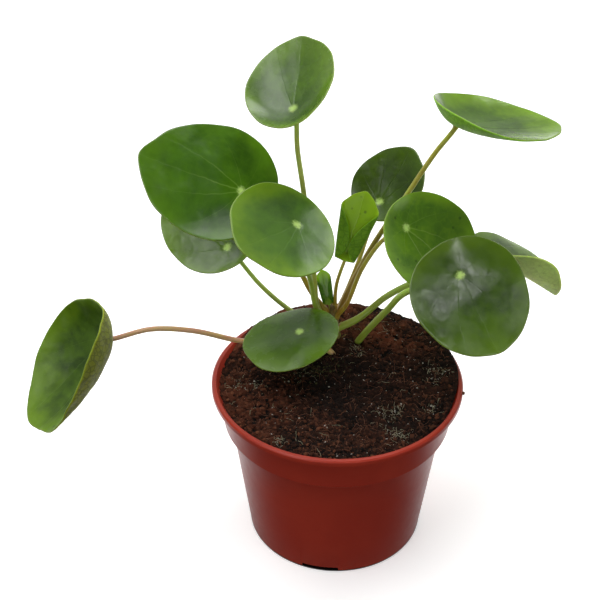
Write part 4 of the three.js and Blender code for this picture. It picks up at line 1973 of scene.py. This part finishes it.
@dataclass(frozen=True)
class Panel:
    """A soft panel of light far away: where it stands, how wide it is in degrees, how bright."""

    azimuth: float
    elevation: float
    core: float
    edge: float
    strength: float


@dataclass
class Stage:
    """The pale floor, the soft lights and the camera."""

    camera_place: Place = (-0.0178, -0.5079, 0.4861)
    camera_tilt: float = 55.08
    lens: float = 81.0
    fill: float = 0.15
    panels: tuple[Panel, ...] = (
        Panel(51, 62, 14.5, 18.5, 3.6),
        Panel(-165, 68, 15, 27, 2.8),
        Panel(-133, 46, 5, 9, 2.6),
        Panel(-71, 60, 1.9, 3.8, 7.0),
        Panel(-61, 67.5, 1.9, 3.8, 7.0),
        Panel(-46, 65.5, 1.8, 4, 5.0),
        Panel(115, 62, 14, 28, 0.9),
        Panel(90, 15, 45, 75, 0.4),
        Panel(-165, 5, 20, 50, 0.25),
        Panel(-90, -6, 18, 32, 2.8),
        Panel(-15, -8, 14, 25, 1.6),
    )

    def build(self) -> None:
        """Builds the whole stage."""
        self.add_camera()
        self.add_floor()
        self.add_world()

    def add_camera(self) -> None:
        """Adds the camera and makes it the scene's own."""
        camera = bpy.data.objects.new("camera", bpy.data.cameras.new("camera"))
        camera.data.lens = self.lens
        camera.data.sensor_width = 36.0
        camera.location = self.camera_place
        camera.rotation_euler = (math.radians(self.camera_tilt), 0, 0)
        bpy.context.collection.objects.link(camera)
        bpy.context.scene.camera = camera

    def add_floor(self) -> None:
        """Adds the floor just under the pot."""
        deselect_all()
        bpy.ops.mesh.primitive_plane_add(size=8, location=(0, 0, -0.1 * MM))
        floor = take("floor")
        settle(floor)
        floor.data.materials.append(FloorFinish().make())

    def add_world(self) -> None:
        """Surrounds the plant with a studio of soft bright panels, white to look at."""
        world = bpy.data.worlds.new("studio")
        world.use_nodes = True
        graph = Graph(world.node_tree)
        background = next(node for node in world.node_tree.nodes if node.type == "BACKGROUND")
        towards = graph.outputs(graph.node("ShaderNodeTexCoord"))["Generated"]
        total: object = self.fill
        for panel in self.panels:
            facing = graph.vector_math("DOT_PRODUCT", towards, direction(panel.azimuth, panel.elevation))
            lit = facing.ramp(math.cos(math.radians(panel.edge)), math.cos(math.radians(panel.core)),
                              0.0, panel.strength)
            total = lit + total
        seen = graph.outputs(graph.node("ShaderNodeLightPath"))["Is Camera Ray"]
        graph.give(background, Color=(1, 1, 1, 1), Strength=total * (1.0 - seen) + seen)
        bpy.context.scene.world = world
        bpy.context.scene.view_settings.view_transform = "Standard"


# ------------------------------------------------------------------ this plant


# the stalk colours are set light: partly their own pale green and brown, partly painted light for the light
# the thin stalks catch and let through
GREEN_STALK = StalkSkin("green", foot=(148, 170, 66), top=(160, 192, 78), blush=(150, 138, 58))


def brown_stalk(name: str, share: float = 0.6) -> StalkSkin:
    """Gives the browner skin that the longer stalks have."""
    return StalkSkin(name, foot=(168, 146, 48), top=(172, 174, 64), blush=(160, 108, 42), blush_share=share)


LEAVES = (
    Leaf("left_drooping",
         Blade((-109.5, 0, 109.9), (-143.4, 32.6), -119.8, 62.4, 59.8, 16.1, dish=11.4, saddle=1.1,
               taper=0.09, point=-0.5, droop=-14.4, lift=19.8, wave=0.5, relief=0.6, relief_grain=5.5,
               bulges=((338, 34, 1.3),)),
         Stalk(1.35, ((-6, 19, 90), (-18, 17, 93), (-45, 12, 99), (-69, 7, 109), (-88, 4, 112)),
               foot=(2, 19, 80), neck=3),
         LeafTone(shade=0.85, under=(126, 136, 36), rim_light=0.9, speckles=0.12, patch_scale=90, net=0.7,
                  spots=0.12, gloss=0.34, sheen=0.25),
         StalkSkin("left_drooping", foot=(190, 184, 100), top=(200, 160, 122), blush=(206, 146, 126),
                   blush_share=0.9)),
    Leaf("front_right",
         Blade((54.5, -2.5, 147), (-86, 50), -62, 57.4, 53, 17.5, dish=1.2, taper=0.08, point=0, lift=1.1,
               crease=(11, 0.085), bulges=((200, 24, -1.2),), relief=0.1),
         Stalk(1.6, ((13.5, 22, 96), (23, 10, 118.5), (31.5, -1, 137)), foot=(9, 31, 81)),
         LeafTone(shade=0.73, vein_light=0.0, rim_light=0.5, gloss=0.145, groove=0.25, sheen=0.47),
         GREEN_STALK),
    Leaf("left_behind",
         Blade((-54, 58, 123), (-109, 42), 127, 55, 51, 11, dish=2, saddle=0.5, taper=0.03),
         Stalk(1.2, ((-14, 37, 93), (-25, 42, 98), (-38, 49, 107)), height=15.5, heading=165),
         LeafTone(sheen=0.56, groove=0.7),
         GREEN_STALK),
    Leaf("far_right",
         Blade((78, 48.5, 126.5), (-17.5, 59.6), -16.5, 50, 46.5, 13.5, dish=-1.6, saddle=1.1, taper=-0.16,
               point=0, droop=2.4, lift=-25, fold=6.5),
         Stalk(1.6, ((11.5, 31.5, 99), (24, 34, 109.5), (36, 38, 114.5), (55, 43, 120)),
               height=17, heading=5),
         # the lighter shade and pale underside are partly painted light, for light that shines through this
         # thin, folded blade
         LeafTone(deep=(58, 78, 34), light=(92, 118, 48), glow=(112, 140, 52), shade=1.4,
                  under=(184, 202, 118), net=0.16, rim_light=0.4, sheen=0.3),
         GREEN_STALK),
    Leaf("front_low",
         Blade((-18, 5, 110), (-163, 76), -177, 46, 44, 18.5, dish=-2.5, saddle=1, taper=-0.05,
               point=0.5, relief=0.1),
         Stalk(1.2, ((-7, 19, 98),), height=14, heading=265),
         LeafTone(shade=1.2, vein_light=0.0, rim_light=0.3, patches=0.5, gloss=0.22, groove=0.5),
         GREEN_STALK),
    Leaf("right_high",
         Blade((54, 45, 199), (32, 71), 7, 60, 57, 13, dish=8, saddle=1, taper=-0.04, point=1.5),
         Stalk(1.3, ((7, 36, 115), (17, 39.5, 135.5), (32.5, 44, 161), (44.7, 44.6, 183.2)),
               height=22, heading=50, neck=1.5),
         LeafTone(shade=1.6, vein_light=0.04, patches=0.35, under=(124, 172, 44)),
         StalkSkin("right_high", foot=(150, 122, 48), top=(176, 186, 70), blush=(158, 122, 50),
                   blush_share=0.45)),
    Leaf("back",
         Blade((21, 62, 147), (-129, 49), 42, 39.5, 37.5, 10, dish=3, taper=0.07),
         Stalk(1.1, ((5, 42, 107), (11, 48, 121), (16, 55, 134)), height=22, heading=110, neck=3),
         LeafTone(deep=(48, 70, 12), light=(78, 110, 18), glow=(104, 136, 24), shade=0.95, rim_light=0.15,
                  speckles=0.14),
         brown_stalk("back", 0.5)),
    Leaf("right_middle",
         Blade((32, 30, 152), (-50, 47), -15, 54.5, 52, 12, dish=3, saddle=-2, taper=0.02),
         Stalk(1.1, ((5, 28, 110), (12, 29, 130), (22, 31, 145)), height=24, heading=350),
         LeafTone(shade=2.3, spots=0.3, vein_light=0.4, rim_light=0.35, patches=0.5),
         brown_stalk("right_middle", 0.5)),
    Leaf("left_big",
         Blade((-45, 35, 169), (-69, 57), 173, 64.5, 61, 16.5, dish=1.5, saddle=0.5, taper=0.1,
               point=2, relief=0.08),
         Stalk(1.3, ((-11.5, 35, 110.5), (-23, 35, 136), (-36, 36, 156)), height=23, heading=158),
         LeafTone(deep=(38, 70, 9), light=(66, 106, 14), glow=(88, 130, 18), shade=1.2, vein_light=0.25,
                  gloss=0.12, rim_light=0.5, groove=0.15),
         brown_stalk("left_big")),
    Leaf("middle",
         Blade((-19, 2, 171), (-34, 58), -133, 52, 49, 15.5, dish=2, taper=0.03),
         Stalk(1.2, ((-9.5, 26, 108), (-13, 22, 128), (-17.5, 14, 146), (-19, 8, 160)),
               height=21, heading=235),
         LeafTone(deep=(42, 72, 14), light=(72, 110, 20), shade=1.15, groove=0.5),
         GREEN_STALK),
    Leaf("top",
         Blade((-21, 35, 211.4), (-135, 49), 77, 45.4, 44, 12.5, dish=7, saddle=-1, taper=0.03),
         Stalk(1.3, ((-9, 31, 105), (-11, 32, 123), (-16.5, 34, 172), (-19, 35.5, 191)),
               height=17, heading=200, neck=1.5),
         LeafTone(shade=1.6, speckles=0.25, gloss=0.24, sheen=0.75, vein_light=0.0, rim_light=0.4,
                  groove=0.7),
         StalkSkin("top", foot=(172, 184, 84), top=(186, 206, 98), blush=(178, 152, 78))),
    Leaf("young",
         Blade((4.5, 30, 138), (-100, 25), 52, 34, 25, 4, dish=1, taper=0.25, point=0.5,
               roll=Roll(2.8, 8.8, 1.2), wave=0.0, relief=0.05),
         Stalk(0.9, ((0, 32, 119),), height=27, heading=50, neck=3),
         LeafTone(deep=(78, 104, 12), light=(96, 126, 16), glow=(108, 140, 18), under=(94, 134, 32),
                  shade=2.1, spots=0.7, hub=(108, 140, 18), sheen=0.12),
         brown_stalk("young", 0.5), segments=128, rings=64, blade_slot="young_leaf_skin"),
    Leaf("bud",
         Blade((-4, 32, 108), (-90, 20), 120, 17.5, 9, 1.5, point=0.5,
               roll=Roll(0.8, 2.4, 0.8), wave=0.0, relief=0.0),
         Stalk(0.7, (), height=28, heading=150, neck=1.5),
         LeafTone(under=(68, 104, 26), shade=2.3, hub=(130, 170, 40), sheen=0.2),
         GREEN_STALK, segments=96, rings=48, blade_slot="young_leaf_skin"),
)


def main() -> None:
    """Builds the plant on its frame, piece by piece."""
    logging.basicConfig(level=logging.INFO, format="%(name)s: %(message)s")
    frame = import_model()
    LOG.info("frame loaded: %s", type(frame).__name__)
    Stage().build()
    pot = NurseryPot()
    pot.build()
    PottingSoil(pot).build()
    stem = MainStem()
    stem.build()
    for leaf in LEAVES:
        leaf.build(stem)


if __name__ == "__main__":
    main()
